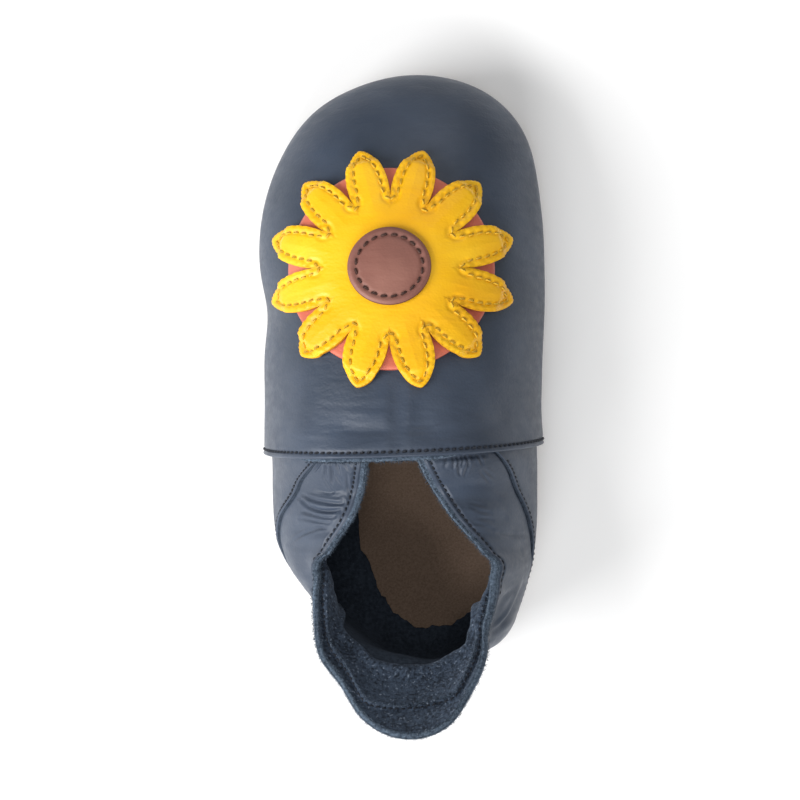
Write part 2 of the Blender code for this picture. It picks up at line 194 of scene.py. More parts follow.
def piece(name, points, quads, materials, face_materials=None, uv=None):
    """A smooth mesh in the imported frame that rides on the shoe. Coincident points are joined, and the
    small open ends of rolled edges are closed."""
    mesh = bpy.data.meshes.new(name)
    mesh.from_pydata((points.reshape(-1, 3) + shift) * MM, [], quads.tolist())
    for material in materials:
        mesh.materials.append(material)
    if face_materials is not None:
        mesh.polygons.foreach_set("material_index", face_materials.astype(np.int32))
    if uv is not None:
        mesh.uv_layers.new(name="thread").uv.foreach_set("vector", uv.reshape(-1, 2)[quads.ravel()].ravel())
    shape = bmesh.new()
    shape.from_mesh(mesh)
    bmesh.ops.remove_doubles(shape, verts=shape.verts, dist=2e-6)
    bmesh.ops.holes_fill(shape, edges=shape.edges, sides=SMALL_HOLE_SIDES)
    bmesh.ops.recalc_face_normals(shape, faces=shape.faces)
    shape.to_mesh(mesh)
    shape.free()
    mesh.shade_smooth()
    made = bpy.data.objects.new(name, mesh)
    bpy.context.scene.collection.objects.link(made)
    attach(made, "root")
    return made


def linear(colour):
    """An sRGB hex colour as linear light with full alpha."""
    parts = [int(colour[i : i + 2], 16) / 255 for i in (1, 3, 5)]
    return (*[p / 12.92 if p <= 0.04045 else ((p + 0.055) / 1.055) ** 2.4 for p in parts], 1.0)


def wire(material, part, inputs):
    """Gives each named input of a node a value, or a link from another node's socket."""
    for name, value in inputs.items():
        if isinstance(value, bpy.types.NodeSocket):
            material.node_tree.links.new(value, part.inputs[name])
        else:
            part.inputs[name].default_value = value


def node(material, kind, inputs, stops=(), **settings):
    """Adds a node with its settings, its inputs and any colour stops (place, hex colour), both ends first."""
    made = material.node_tree.nodes.new(kind)
    for name, value in settings.items():
        setattr(made, name, value)
    for index, (place, colour) in enumerate(stops):
        stop = made.color_ramp.elements[index] if index < 2 else made.color_ramp.elements.new(place)
        stop.position = place
        stop.color = linear(colour)
    wire(material, made, inputs)
    return made


def new_finish(name, coordinates):
    """A new material, its shader, and the coordinates that its patterns are laid in."""
    material = bpy.data.materials.new(name)
    material.use_nodes = True
    shader = material.node_tree.nodes["Principled BSDF"]
    return material, shader, node(material, "ShaderNodeTexCoord", {}).outputs[coordinates]


def suede(name, shade, body, tip, nap_mm, bump_mm):
    """Split leather with a brushed nap: short fibres in clumps, darker low in the nap as painted shade, and
    single tips painted paler as glints of light caught on the fibres.

    Real nap is under 0.1 mm wide, and is drawn a few times coarser so that it shows from the camera.
    """
    brush_mm = 9.0
    material, shader, place = new_finish(name, "Object")
    nap_scale, brush_scale, tip_scale = (1 / (size * MM) for size in (nap_mm, brush_mm, 0.8 * nap_mm))
    nap = node(
        material, "ShaderNodeTexNoise", {"Vector": place, "Scale": nap_scale, "Detail": 4, "Roughness": 0.65}
    ).outputs["Fac"]
    strokes = node(
        material, "ShaderNodeTexNoise", {"Vector": place, "Scale": brush_scale, "Detail": 2, "Roughness": 0.5}
    ).outputs["Fac"]
    clumps = node(material, "ShaderNodeMath", {0: strokes, 1: 0.25, 2: -0.125}, operation="MULTIPLY_ADD")
    lie = node(material, "ShaderNodeMath", {0: nap, 1: clumps.outputs[0]}, operation="ADD").outputs[0]
    # The nap's low places take the shade stop: painted shade between the clumps, over the nap's own mottled
    # tone
    dye = node(material, "ShaderNodeValToRGB", {"Fac": lie}, [(0.36, shade), (0.62, body)]).outputs["Color"]
    # Single fibre tips are mixed in with the paler tip colour at random: their own paler tone, plus painted
    # glints of light caught on them
    fibres = node(material, "ShaderNodeTexNoise", {"Vector": place, "Scale": tip_scale, "Detail": 3})
    tips_and_glints = node(
        material,
        "ShaderNodeMapRange",
        {"Value": fibres.outputs["Fac"], "From Min": 0.60, "From Max": 0.80, "To Max": 0.7},
    ).outputs[0]
    colour = node(material, "ShaderNodeMix", {0: tips_and_glints, 6: dye, 7: linear(tip)}, data_type="RGBA").outputs[2]
    bump = node(material, "ShaderNodeBump", {"Height": nap, "Distance": bump_mm * MM, "Strength": 1.0})
    finish = {
        "Base Color": colour,
        "Normal": bump.outputs["Normal"],
        "Roughness": 0.95,
        "Specular IOR Level": 0.2,
        "Sheen Weight": 0.3,
        "Sheen Roughness": 0.5,
        "Sheen Tint": linear(tip),
    }
    wire(material, shader, finish)
    return material


def sole_rings(stations, rings, pucker):
    """Rings round the sole at distances in from its edge and heights over its bottom skin, with cosine
    puckers along the edge where it bends round toe and heel."""
    y, bearing, far = stations
    inset, height = (np.array(column)[:, None] for column in zip(*rings))
    edge = far - SOLE_INSET
    distance = np.maximum(edge - inset, 0.0)
    place_x = SPINE_X + np.cos(bearing) * distance
    place_y = y + np.sin(bearing) * distance
    rise = MARGIN_RISE * np.clip(1 - (edge - distance) / MARGIN_WIDTH, 0.0, 1.0) ** 2
    along = run_along(np.stack([place_x[0], place_y[0]], axis=-1))
    gathered = np.clip(np.abs(np.sin(bearing)) * PUCKER_GAIN, 0.0, 1.0)
    waves = pucker * gathered * np.cos(2 * math.pi * along / PUCKER_PITCH)
    waves = waves * bell(inset - PUCKER_IN, PUCKER_SPREAD)
    return np.stack([place_x, place_y, rise + height + toe_spring(place_y) + waves * (rise > 0.05)], axis=-1)


# One full turn of half sections: heel, inner side, toe, outer side
sole_stations = turn(
    (HEEL_CENTRE_Y, HEEL_CENTRE_Y, 180, 360, 130),
    (HEEL_CENTRE_Y, TOE_CENTRE_Y, 0, 0, 100),
    (TOE_CENTRE_Y, TOE_CENTRE_Y, 0, 180, 130),
    (TOE_CENTRE_Y, HEEL_CENTRE_Y, 180, 180, 100),
)
foot_turn = np.linspace(0.3, math.pi / 2, 5)
rim_turn = np.linspace(0.0, math.pi / 2, 5)
rim_start = SOLE_THICKNESS - RIM_ROUND_HEIGHT
sole_profile = (
    [(SOLE_MIDDLE, 0.0), (16.0, 0.0), (10.0, 0.0)]
    + [(inset, 0.0) for inset in np.linspace(MARGIN_WIDTH, FOOT_ROUND, 9)]
    + [(FOOT_ROUND * (1 - math.sin(a)), FOOT_ROUND_HEIGHT * (1 - math.cos(a))) for a in foot_turn]
    + [(RIM_ROUND * (1 - math.cos(a)), rim_start + RIM_ROUND_HEIGHT * math.sin(a)) for a in rim_turn]
    + [(inset, SOLE_THICKNESS) for inset in np.linspace(1.2, MARGIN_WIDTH, 6)]
    + [(12.0, SOLE_THICKNESS), (SOLE_MIDDLE, SOLE_THICKNESS)]
)
sole_points = sole_rings(sole_stations, sole_profile, PUCKER_DEPTH)
shift = np.array(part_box("outsole")[0]) / MM - sole_rings(sole_stations, sole_profile, 0.0).min(axis=(0, 1))

# Brushed sole split, undyed tan: even and matt, with a short dense nap that has no shine
sole_suede = suede("sole_suede", "#7F6A54", "#94806B", "#AC9A85", nap_mm=0.5, bump_mm=0.12)
sole_quads = quads_between(*sole_points.shape[:2], closed=True)
outsole = piece("outsole_suede", sole_points, sole_quads, [sole_suede])
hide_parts("outsole")

# Insole
# A thin tan suede sheet that lies loose on the sole inside the upper, a little smaller than the sole
# and slightly uneven from wear.

GAP = 0.3
INSOLE_THICKNESS = 1.6
INSOLE_INSET = 7.2
INSOLE_TOP_ROW = 5
UNEVEN_DEPTH = 0.12
UNEVEN_ACROSS, UNEVEN_ALONG = 5.1, 7.3
insole_edge = INSOLE_INSET - SOLE_INSET
insole_bottom = SOLE_THICKNESS + GAP
insole_top = insole_bottom + INSOLE_THICKNESS
insole_profile = (
    [(SOLE_MIDDLE, insole_bottom), (12.0, insole_bottom), (insole_edge, insole_bottom)]
    + [(insole_edge, insole_top - 0.5), (insole_edge + 0.2, insole_top - 0.15)]
    + [(inset, insole_top) for inset in np.linspace(insole_edge + 0.5, 30.0, 40)]
    + [(SOLE_MIDDLE, insole_top)]
)
insole_points = sole_rings(sole_stations, insole_profile, 0.0)
uneven = np.sin(insole_points[..., 0] / UNEVEN_ACROSS + 0.7) * np.sin(insole_points[..., 1] / UNEVEN_ALONG)
insole_points[INSOLE_TOP_ROW:, :, 2] += UNEVEN_DEPTH * uneven[INSOLE_TOP_ROW:]

# Thin lining suede, tan: a finer, flatter nap than the sole's, dull and slightly pinkish in the shade
insole_suede = suede("insole_suede", "#7F6A5A", "#957E6D", "#A99282", nap_mm=0.45, bump_mm=0.08)
insole_quads = quads_between(*insole_points.shape[:2], closed=True)
insole = piece("insole_suede", insole_points, insole_quads, [insole_suede])
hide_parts("insole")

# Vamp
# One piece of smooth navy leather, drawn over the last into a dome. Its straight hem is turned and
# topstitched across the instep, and the suede flesh side shows along the hem's middle and inside.

INSTEP_HEIGHT = 43.0
RIDGE_FALL = 0.2
SECTION_POWER = 2.25
VAMP_LEATHER = 0.9
TUCK = 3.4
TUCK_HEIGHT = 11.0
VAMP_FOOT_Z = MARGIN_RISE + SOLE_THICKNESS + GAP
HEM_Y = -9.4
HEM_BOW = 1.8
HEM_BOW_LENGTH = 26.0
HEM_TURNING = 0.7
HEM_TURNING_LENGTH = 9.0
HEM_TILT = 0.036
HEM_ROLL_BACK = 0.5
HEM_STITCH_IN = 0.85
HEM_BULGE = 0.6
HEM_FLESH_SHOWS = 0.85
# Across the hem, where the flesh side comes into sight from either end
HEM_FLESH_OUTER, HEM_FLESH_INNER = (-24.0, -17.0), (16.0, 9.0)
HEM_FIRST_ROW = 12
# Soft lines pressed into the leather or raised on it, as (depth or height, width)
HEM_LIP = (0.10, 0.5)
HEM_GROOVE = (0.26, 0.36)
VAMP_ROWS = 116
FINE_TO_Y = 12.0
RELIEF_END_ANGLE = 1.50
ROLL_STEPS = 7
ALLOWANCE_ROWS = 9
ALLOWANCE_UP = 2.2
ALLOWANCE_GAP = 0.12
ALLOWANCE_LEATHER = 0.55
HEM_RAGGED = (
    # share of the width that shows, waves in radians to the millimetre, phase
    (0.05, 1.7, 0.0),
    (0.04, 4.1, 1.0),
    (0.03, 7.7, 0.0),
)
CAMERA_X = 37.0
CAMERA_HEIGHT = 950.0
CREASE_STEPS = 41
CREASE_SEARCH = 9.0
VAMP_CREASES = (
    # plan points of the crease from the camera's side, half width, depth
    (((-19.0, 0.5), (-9.0, -0.9), (1.0, -0.2)), 0.70, 0.035),
    (((-14.0, -2.2), (-4.0, -3.0), (6.5, -2.3)), 0.60, 0.045),
    (((-21.0, -4.0), (-12.0, -4.8), (-3.0, -4.4)), 0.60, 0.040),
    (((-6.0, -5.6), (3.0, -6.2), (11.0, -5.4)), 0.50, 0.050),
    (((12.0, -1.0), (19.0, -2.4), (25.0, -2.0)), 0.70, 0.040),
    (((-26.0, 2.0), (-23.0, -2.5), (-24.5, -6.5)), 0.80, 0.060),
    (((-16.0, -6.4), (-11.0, -5.9), (-6.0, -6.6)), 0.45, 0.050),
    (((-1.0, -4.0), (5.0, -4.7), (10.0, -3.6)), 0.45, 0.045),
    (((4.0, -0.6), (9.0, -1.5), (14.0, -3.4)), 0.45, 0.040),
    (((2.0, -7.6), (8.0, -7.3), (13.0, -7.9)), 0.40, 0.040),
    (((14.0, -4.8), (18.0, -5.6), (23.0, -4.9)), 0.50, 0.040),
    (((-23.0, -7.2), (-18.5, -7.9), (-14.0, -7.6)), 0.45, 0.050),
    (((-12.0, -5.4), (-4.0, -5.6), (5.0, -4.8)), 1.50, 0.300),
    (((7.0, -7.0), (14.0, -6.2), (21.0, -5.0)), 1.30, 0.160),
)
VAMP_SWELLS = (
    # x, y, radius, height: how the empty leather stands a little uneven
    (-29.0, 19.5, 6.0, -0.9),
    (-29.0, 9.0, 7.0, 0.4),
    (-29.0, -9.0, 4.5, -0.35),
    (-18.0, -5.0, 6.0, 0.55),
    (-17.0, 4.0, 6.0, 0.45),
    (-9.5, -5.0, 4.5, -0.5),
    (1.8, -5.0, 3.8, 0.55),
    (1.4, 1.5, 4.2, 0.45),
    (6.0, -3.0, 3.2, -0.3),
    (14.0, -2.0, 6.0, 0.6),
    (23.5, -1.5, 5.5, -0.7),
    (29.0, 21.0, 9.0, 0.35),
    (28.0, 46.0, 9.0, -0.7),
    (16.0, 62.0, 8.0, 0.4),
    (-16.0, 60.0, 9.0, 0.6),
)


def smooth_step(low, high, value):
    """0 below low, 1 above high, and a smooth S between them."""
    share = np.clip((value - low) / (high - low), 0.0, 1.0)
    return share * share * (3 - 2 * share)


def unit(vectors):
    """Vectors brought to length one."""
    return vectors / np.maximum(np.linalg.norm(vectors, axis=-1, keepdims=True), 1e-9)


def ridge_height(y):
    """The vamp's ridge: a straight fall from the instep at the hem to the toe box."""
    return INSTEP_HEIGHT - RIDGE_FALL * (y - HEM_Y)


def tucked(distance, z, foot_z):
    """The wall's foot drawn in to the sole's seam by a square law."""
    return distance - TUCK * np.clip(1 - (z - foot_z) / TUCK_HEIGHT, 0.0, 1.0) ** 2


def vamp_skin(y, bearing, far, angle, inset, turning):
    """The dome: superellipse sections from the sole's seam up to the ridge, set in by the leather."""
    from_hem = np.where(np.sin(bearing) > 1e-9, HEM_BOW_LENGTH, y - HEM_Y)
    flare = turning * smooth_step(HEM_TURNING_LENGTH, 0.0, from_hem) * smooth_step(0.0, 0.5, angle)
    distance = (far + flare - inset) * np.cos(angle) ** (2 / SECTION_POWER)
    lies_y = y + np.sin(bearing) * distance
    height = ridge_height(lies_y) - VAMP_FOOT_Z - inset
    z = VAMP_FOOT_Z + height * np.sin(angle) ** (2 / SECTION_POWER)
    distance = tucked(distance, z, VAMP_FOOT_Z)
    x = SPINE_X + np.cos(bearing) * distance
    lies_y = y + np.sin(bearing) * distance
    near_hem = smooth_step(HEM_BOW_LENGTH, 0.0, from_hem)
    bow = HEM_BOW * np.sin(angle) * near_hem
    tilt = HEM_TILT * x * near_hem
    return np.stack([x, lies_y - bow + tilt, z + toe_spring(lies_y)], axis=-1)


def seen_plan(points):
    """Where points land on the floor's plan when seen from the photograph's height."""
    scale = CAMERA_HEIGHT / (CAMERA_HEIGHT - points[..., 2])
    return CAMERA_X + (points[..., 0] - CAMERA_X) * scale, points[..., 1] * scale


def crease_relief(points, creases):
    """Soft troughs along plan lines, each with a low ridge on both sides, fading out at its ends."""
    x, y = seen_plan(points)
    relief = np.zeros_like(x)
    for line, width, depth in creases:
        knots = np.array(line)
        share = np.linspace(0.0, 1.0, len(knots))
        fine = np.linspace(0.0, 1.0, CREASE_STEPS)
        bend = np.polyfit(share, knots, len(knots) - 1)
        path = np.stack([np.polyval(bend[:, axis], fine) for axis in (0, 1)], axis=-1)
        fade = np.sin(math.pi * (0.08 + 0.84 * fine)) ** 0.8
        search = CREASE_SEARCH + np.ptp(knots, axis=0).max()
        near = np.hypot(x - knots[:, 0].mean(), y - knots[:, 1].mean()) < search
        gaps = np.hypot(x[near][:, None] - path[:, 0], y[near][:, None] - path[:, 1])
        closest = gaps.argmin(axis=1)
        distance = gaps.min(axis=1)
        ridge = 0.5 * bell(distance - 2.0 * width, width)
        trough = (1 + (distance / width) ** 2) ** -1.5
        relief[near] += depth * fade[closest] * (ridge - trough)
    return relief


def swell_relief(points, swells):
    """Broad low bumps and hollows by plan distance."""
    return sum(
        height * bell(np.hypot(points[..., 0] - x, points[..., 1] - y), radius)
        for x, y, radius, height in swells
    )


def soft_line(distance, size):
    """Depth or height of a soft line of a given (depth, width), at a distance from its middle."""
    depth, width = size
    return depth * bell(distance, width)


def raised(points, normals, relief):
    """Points moved along their normals."""
    return points + normals * relief[..., None]


HEM_EDGE_Y = HEM_Y + HEM_ROLL_BACK
vamp_y, vamp_bearing, vamp_far = turn(
    (HEM_EDGE_Y, FINE_TO_Y, 180, 180, 66),
    (FINE_TO_Y, TOE_CENTRE_Y, 180, 180, 26),
    (TOE_CENTRE_Y, TOE_CENTRE_Y, 180, 0, 190),
    (TOE_CENTRE_Y, FINE_TO_Y, 0, 0, 26),
    (FINE_TO_Y, HEM_EDGE_Y, 0, 0, 66),
)
vamp_y = np.append(vamp_y, HEM_EDGE_Y)
vamp_bearing = np.append(vamp_bearing, 0.0)
vamp_far = np.append(vamp_far, reach(HEM_EDGE_Y, 0.0))
vamp_angle = np.linspace(0.0, math.pi / 2 - 1e-6, VAMP_ROWS)[:, None]
vamp_outer = vamp_skin(vamp_y, vamp_bearing, vamp_far, vamp_angle, 0.0, HEM_TURNING)
vamp_inner = vamp_skin(vamp_y, vamp_bearing, vamp_far, vamp_angle, VAMP_LEATHER, 0.0)
vamp_normals = unit(np.cross(np.gradient(vamp_outer, axis=0), np.gradient(vamp_outer, axis=1)))
from_hem = np.where(np.sin(vamp_bearing) > 1e-9, HEM_BOW_LENGTH, vamp_y - HEM_EDGE_Y)
vamp_relief = crease_relief(vamp_outer, VAMP_CREASES) + swell_relief(vamp_outer, VAMP_SWELLS)
vamp_relief *= smooth_step(0.0, 0.25, vamp_angle) * smooth_step(math.pi / 2, RELIEF_END_ANGLE, vamp_angle)
vamp_relief += soft_line(from_hem, HEM_LIP) - soft_line(from_hem - HEM_STITCH_IN, HEM_GROOVE)
vamp_outer = raised(vamp_outer, vamp_normals, vamp_relief)
for grid in (vamp_outer, vamp_inner):
    grid[-1, :, 0] = SPINE_X


def rolled_edge(outer, inner, way):
    """Rows of half turns from outer to inner edge points, bulging along a way by half their distance."""
    middle = (outer + inner) / 2
    half = (outer - inner) / 2
    bulge = np.linalg.norm(half, axis=-1, keepdims=True) * way
    turns = np.linspace(0.0, math.pi, ROLL_STEPS + 2)[1:-1]
    return np.stack([middle + half * math.cos(a) + bulge * math.sin(a) for a in turns])


# The hem's rolled edge on both sides, from the outer skin round to the flesh side
hem_back = (0.0, -HEM_BULGE, 0.0)
hem_inner_roll, hem_outer_roll = (
    rolled_edge(vamp_outer[:, end], vamp_inner[:, end], hem_back).swapaxes(0, 1) for end in (-1, 0)
)
vamp_ring = np.concatenate([vamp_outer, hem_inner_roll, vamp_inner[:, ::-1], hem_outer_roll[:, ::-1]], axis=1)
vamp_columns = vamp_outer.shape[1]
vamp_quads = quads_between(*vamp_ring.shape[:2], closed=True)
flesh_from = vamp_columns + ROLL_STEPS // 2 + 1
flesh_to = vamp_ring.shape[1] - ROLL_STEPS // 2 - 1
vamp_column = np.tile(np.arange(vamp_ring.shape[1]), VAMP_ROWS - 1)
vamp_faces = ((vamp_column >= flesh_from) & (vamp_column < flesh_to)).astype(int)
foot_left = np.arange(vamp_columns - 1)
foot_inside = 2 * vamp_columns + ROLL_STEPS - 1 - foot_left
vamp_foot = np.stack([foot_left, foot_inside, foot_inside - 1, foot_left + 1], axis=-1)
vamp_quads = np.concatenate([vamp_quads, vamp_foot])
vamp_faces = np.concatenate([vamp_faces, np.zeros(len(vamp_foot), int)])


def smooth_leather(name, deep, body, worn, roughness):
    """Soft drum-dyed nappa: a fine pebbled grain, faint stretch lines across it and a satin finish coat.

    Real grain is about 0.25 mm wide, and is drawn twice as coarse so that it shows from the camera.
    """
    grain_mm, grain_depth_mm = 0.55, 0.03
    line_mm, line_depth_mm = 1.7, 0.12
    warp_mm, loose_mm, cloud_mm = 3.0, 0.6, 14.0
    grain_scale, line_scale, warp_scale, cloud_scale = (
        1 / (size * MM) for size in (grain_mm, line_mm, warp_mm, cloud_mm)
    )
    material, shader, place = new_finish(name, "Object")
    warp = node(material, "ShaderNodeTexNoise", {"Vector": place, "Scale": warp_scale, "Detail": 2})
    loose = node(
        material,
        "ShaderNodeVectorMath",
        {0: warp.outputs["Color"], 1: (loose_mm * MM,) * 3, 2: place},
        operation="MULTIPLY_ADD",
    ).outputs[0]
    pebbles = node(
        material, "ShaderNodeTexVoronoi", {"Vector": loose, "Scale": grain_scale}, feature="SMOOTH_F1"
    ).outputs["Distance"]
    stretched = node(material, "ShaderNodeMapping", {"Vector": loose, "Scale": (0.28, 1.0, 0.6)}).outputs[0]
    lines = node(
        material,
        "ShaderNodeTexNoise",
        {"Vector": stretched, "Scale": line_scale, "Detail": 4, "Roughness": 0.55},
    ).outputs["Fac"]
    cloud = node(
        material, "ShaderNodeTexNoise", {"Vector": place, "Scale": cloud_scale, "Detail": 3, "Roughness": 0.5}
    ).outputs["Fac"]
    dye = node(material, "ShaderNodeValToRGB", {"Fac": cloud}, [(0.32, deep), (0.72, worn), (0.5, body)])
    smoothest, roughest = roughness - 0.06, roughness + 0.08
    shine = node(
        material,
        "ShaderNodeMapRange",
        {"Value": lines, "From Min": 0.3, "From Max": 0.7, "To Min": smoothest, "To Max": roughest},
    ).outputs[0]
    grain = node(
        material,
        "ShaderNodeBump",
        {"Height": pebbles, "Distance": grain_depth_mm * MM, "Strength": 1.0},
        invert=True,
    ).outputs[0]
    soft = node(
        material,
        "ShaderNodeBump",
        {"Height": lines, "Distance": line_depth_mm * MM, "Strength": 1.0, "Normal": grain},
    ).outputs[0]
    finish = {
        "Base Color": dye.outputs["Color"],
        "Roughness": shine,
        "Normal": soft,
        "IOR": 1.5,
        "Specular IOR Level": 0.42,
    }
    wire(material, shader, finish)
    return material


# Navy nappa, grain side out: a dull satin sheen that breaks up in the pebbles and along the stretch lines
navy_nappa = smooth_leather("navy_nappa", "#353F4E", "#3A4454", "#404B5C", roughness=0.43)
# The same leather's flesh side, buffed: a long loose nap, darker between its clumps with painted shade, and
# greyish on the tips with painted glints
navy_suede = suede("navy_suede", "#19202A", "#434F60", "#A6B4C8", nap_mm=0.72, bump_mm=0.30)
vamp = piece("vamp_leather", vamp_ring, vamp_quads, [navy_nappa, navy_suede], vamp_faces)
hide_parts("upper")

# The raw edge of the hem's turned-in allowance, which hangs out under the hem along its middle
hem_side_angles = vamp_angle[HEM_FIRST_ROW:, 0]
hem_angles = np.concatenate([hem_side_angles, hem_side_angles[::-1]])
hem_bearings = np.repeat([math.pi, 0.0], len(hem_side_angles))


def hem_line(y, inset, turning):
    """Points across the hem at places along the shoe, with the two sides joined at the ridge."""
    line = vamp_skin(y, hem_bearings, reach(y, hem_bearings), hem_angles, inset, turning)
    line[..., 0] = np.where(hem_angles > math.pi / 2 - 1e-3, SPINE_X, line[..., 0])
    return line


def ragged(along, waves):
    """The uneven line of a cut edge: a sum of a few sines along it."""
    return sum(size * np.sin(along * rate + phase) for size, rate, phase in waves)


hem_x = hem_line(np.full(len(hem_angles), HEM_EDGE_Y), VAMP_LEATHER, 0.0)[:, 0]
hangs = HEM_FLESH_SHOWS * smooth_step(*HEM_FLESH_OUTER, hem_x) * smooth_step(*HEM_FLESH_INNER, hem_x)
hangs *= 1 + ragged(hem_x, HEM_RAGGED)
allowance_share = np.linspace(0.0, 1.0, ALLOWANCE_ROWS)[:, None]
allowance_y = HEM_EDGE_Y + ALLOWANCE_UP - (ALLOWANCE_UP + hangs) * allowance_share
across_hem = np.linspace(0.0, 1.0, len(hem_x))
allowance_thick = ALLOWANCE_LEATHER * smooth_step(0.0, 0.06, np.minimum(across_hem, 1 - across_hem))
allowance_in = VAMP_LEATHER + ALLOWANCE_GAP
allowance_top = hem_line(allowance_y, allowance_in, 0.0)
allowance_back = hem_line(allowance_y, allowance_in + allowance_thick, 0.0)
allowance_lip = hem_line(allowance_y[-1] - 0.4 * allowance_thick, allowance_in + 0.5 * allowance_thick, 0.0)
allowance_ring = np.concatenate([allowance_top, allowance_lip[None], allowance_back[::-1], allowance_top[:1]])
allowance_quads = quads_between(*allowance_ring.shape[:2])
# Cut edge of the leather with its fibres combed out: paler and greyer than the dyed faces
napped_edge = suede("napped_edge", "#2E3844", "#5A6878", "#9CAAB9", nap_mm=0.5, bump_mm=0.12)
piece("hem_allowance", allowance_ring, allowance_quads, [napped_edge])

# Ankle piece
# A lower and an upper panel of the same leather with a lapped seam between them, run under the hem.
# Elastic in the upper panel's casing gathers it, and its collar is cut raw, suede on the edge and inside.

LAP = 1.15
WING_FRONT_Y = HEM_Y + 9.0
ANKLE_FOOT_Z = VAMP_FOOT_Z + 0.2
ANKLE_WALL = 1.3
CASING_WALL = 2.3
PANEL_STEP = 0.6
LEAN_START_Z = 20.0
UPRIGHT_SHARE = 0.96
CASING_WIDTH = 14.0
CASING_TOP = 2.5
ELASTIC_CREST = 1.0
CASING_EDGE_X, CASING_EDGE_Y = 2.2, -41.3
CASING_EDGE_HALF, CASING_EDGE_DEEP = 15.4, 13.9
CASING_EDGE_POWER = 2.5
STRIP_Y = -65.4
STRIP_BOW = 1.7
COLLAR_STITCH_IN = 2.1
SEAM_STITCH_IN_OUTER = 1.15
SEAM_STITCH_IN_INNER = 0.8
RAW_EDGE = 0.9
RAW_EDGE_THINNED = 0.30
GATHER_PITCH, GATHER_DEPTH, GATHER_DEPTH_INSIDE = 4.3, 0.12, 0.05
FOLD_PITCH, FOLD_DEPTH = 7.5, 0.22
# Soft lines along the panel seam, the collar and the casing's strip, as (depth or height, width)
SEAM_DIP = (0.34, 0.40)
SEAM_LIP = (0.14, 0.35)
SEAM_CUT = (0.16, 0.14)
SEAM_GROOVE = (0.24, 0.32)
COLLAR_GROOVE = (0.28, 0.38)
STRIP_GROOVE = (0.25, 0.40)
STRIP_LIP = (0.22, 0.35)
ELASTIC_CREST_SPREAD = 1.8
SEAM_UNDER_COLLAR = 2.6
# Heights over the wall's foot, and ways down from the collar, over which soft forms come in
CREASED_OVER_FOOT, CREASED_UNDER_COLLAR = (4.0, 9.0), (1.2, 2.6)
STANDING_OVER_FOOT, STANDING_UNDER_COLLAR = (3.0, 11.0), (0.5, 6.0)
FOLDED_UNDER_COLLAR = (8.0, 16.0)
GATHERED_Y = (-12.0, -20.0)
# Places of the four finishes in the ankle's list of materials
SMOOTH_GRAIN, LOOSE_NAP, SHADED_FLAT_NAP, CUT_EDGE = range(4)
# The walk goes round the ankle: millimetres back along the outer wing to 0, degrees round the heel
# to -180, and millimetres on along the inner wing. The next values are places on it.
STEP_OUTER, STEP_INNER = (-12.0, 6.0), (-172.0, -186.0)
SEAM_STITCH_EASES = (-60.0, -120.0)
CREST_OUTER, CREST_INNER = (-20.0, -45.0), (-165.0, -140.0)
COLLAR = (
    # walk, reach from the spine, height
    (WING_FRONT_Y - HEEL_CENTRE_Y, 5.0, math.nan),
    (HEM_Y - HEEL_CENTRE_Y, 6.2, math.nan),
    (7.6, 9.9, 36.0),
    (0.0, 15.4, 33.5),
    (-20.0, 18.9, 33.5),
    (-39.0, 22.6, 35.5),
    (-52.0, 26.3, 38.5),
    (-68.0, 29.6, 42.0),
    (-79.0, 34.2, 45.5),
    (-93.0, 37.2, 47.5),
    (-107.0, 36.4, 46.0),
    (-119.0, 32.2, 42.5),
    (-131.0, 28.3, 39.0),
    (-139.0, 25.0, 37.2),
    (-148.0, 23.4, 35.9),
    (-164.0, 21.4, 34.5),
    (-180.0, 18.9, 34.5),
    (-187.6, 12.0, 36.5),
    (-180.0 - (HEM_Y - HEEL_CENTRE_Y), 4.2, math.nan),
    (-180.0 - (WING_FRONT_Y - HEEL_CENTRE_Y), 3.2, math.nan),
)
PANEL_SEAM = (
    # walk, height of the seam between lower and upper panel
    (30.6, 41.5),
    (21.6, 38.6),
    (18.6, 35.6),
    (14.7, 29.4),
    (10.6, 24.6),
    (6.6, 18.8),
    (2.0, 14.8),
    (-6.0, 13.6),
    (-20.0, 13.2),
    (-52.0, 14.0),
    (-93.0, 15.0),
    (-131.0, 14.0),
    (-164.0, 13.4),
    (-176.0, 14.2),
    (-182.0, 16.0),
    (-188.7, 20.8),
    (-192.5, 24.0),
    (-196.0, 27.4),
    (-201.0, 33.0),
    (-210.6, 39.0),
)
ELASTIC_DRAW = (
    # walk, how far the elastic draws the wall in under the collar, and how far down
    (30.0, 0.0, 5.5),
    (8.0, 0.0, 5.5),
    (-4.0, 1.4, 5.5),
    (-20.0, 2.6, 5.5),
    (-34.0, 2.4, 5.5),
    (-50.0, 1.2, 7.0),
    (-66.0, 1.2, 10.0),
    (-80.0, 3.0, 13.5),
    (-95.0, 4.0, 15.0),
    (-109.0, 2.6, 13.5),
    (-122.0, 1.4, 10.0),
    (-134.0, 2.0, 7.5),
    (-145.0, 2.6, 6.5),
    (-158.0, 1.0, 5.5),
    (-172.0, 0.0, 5.5),
    (-210.0, 0.0, 5.5),
)
ELASTIC_SPREAD = 4.5
HEEL_SEAMS = (
    # plan points of the seam up to the collar from the camera's side, half width, depth
    (((26.5, -38.2), (24.4, -42.3), (22.0, -45.4), (18.9, -47.9)), 0.34, 0.55),
    (((-21.6, -36.8), (-19.9, -40.0), (-18.4, -43.2)), 0.50, 0.20),
)
BELOW_ROWS = 34
ABOVE_ROWS = 86
LAP_EDGE_ANGLE = 0.003
ANKLE_SWELLS = (
    # x, y, radius, height: where the empty panels stand out or fall in
    (-26.0, -29.5, 7.0, 1.0),
    (22.0, -48.0, 6.5, 1.8),
    (-28.5, -12.5, 5.0, -0.8),
    (17.5, -21.0, 4.5, 0.4),
)
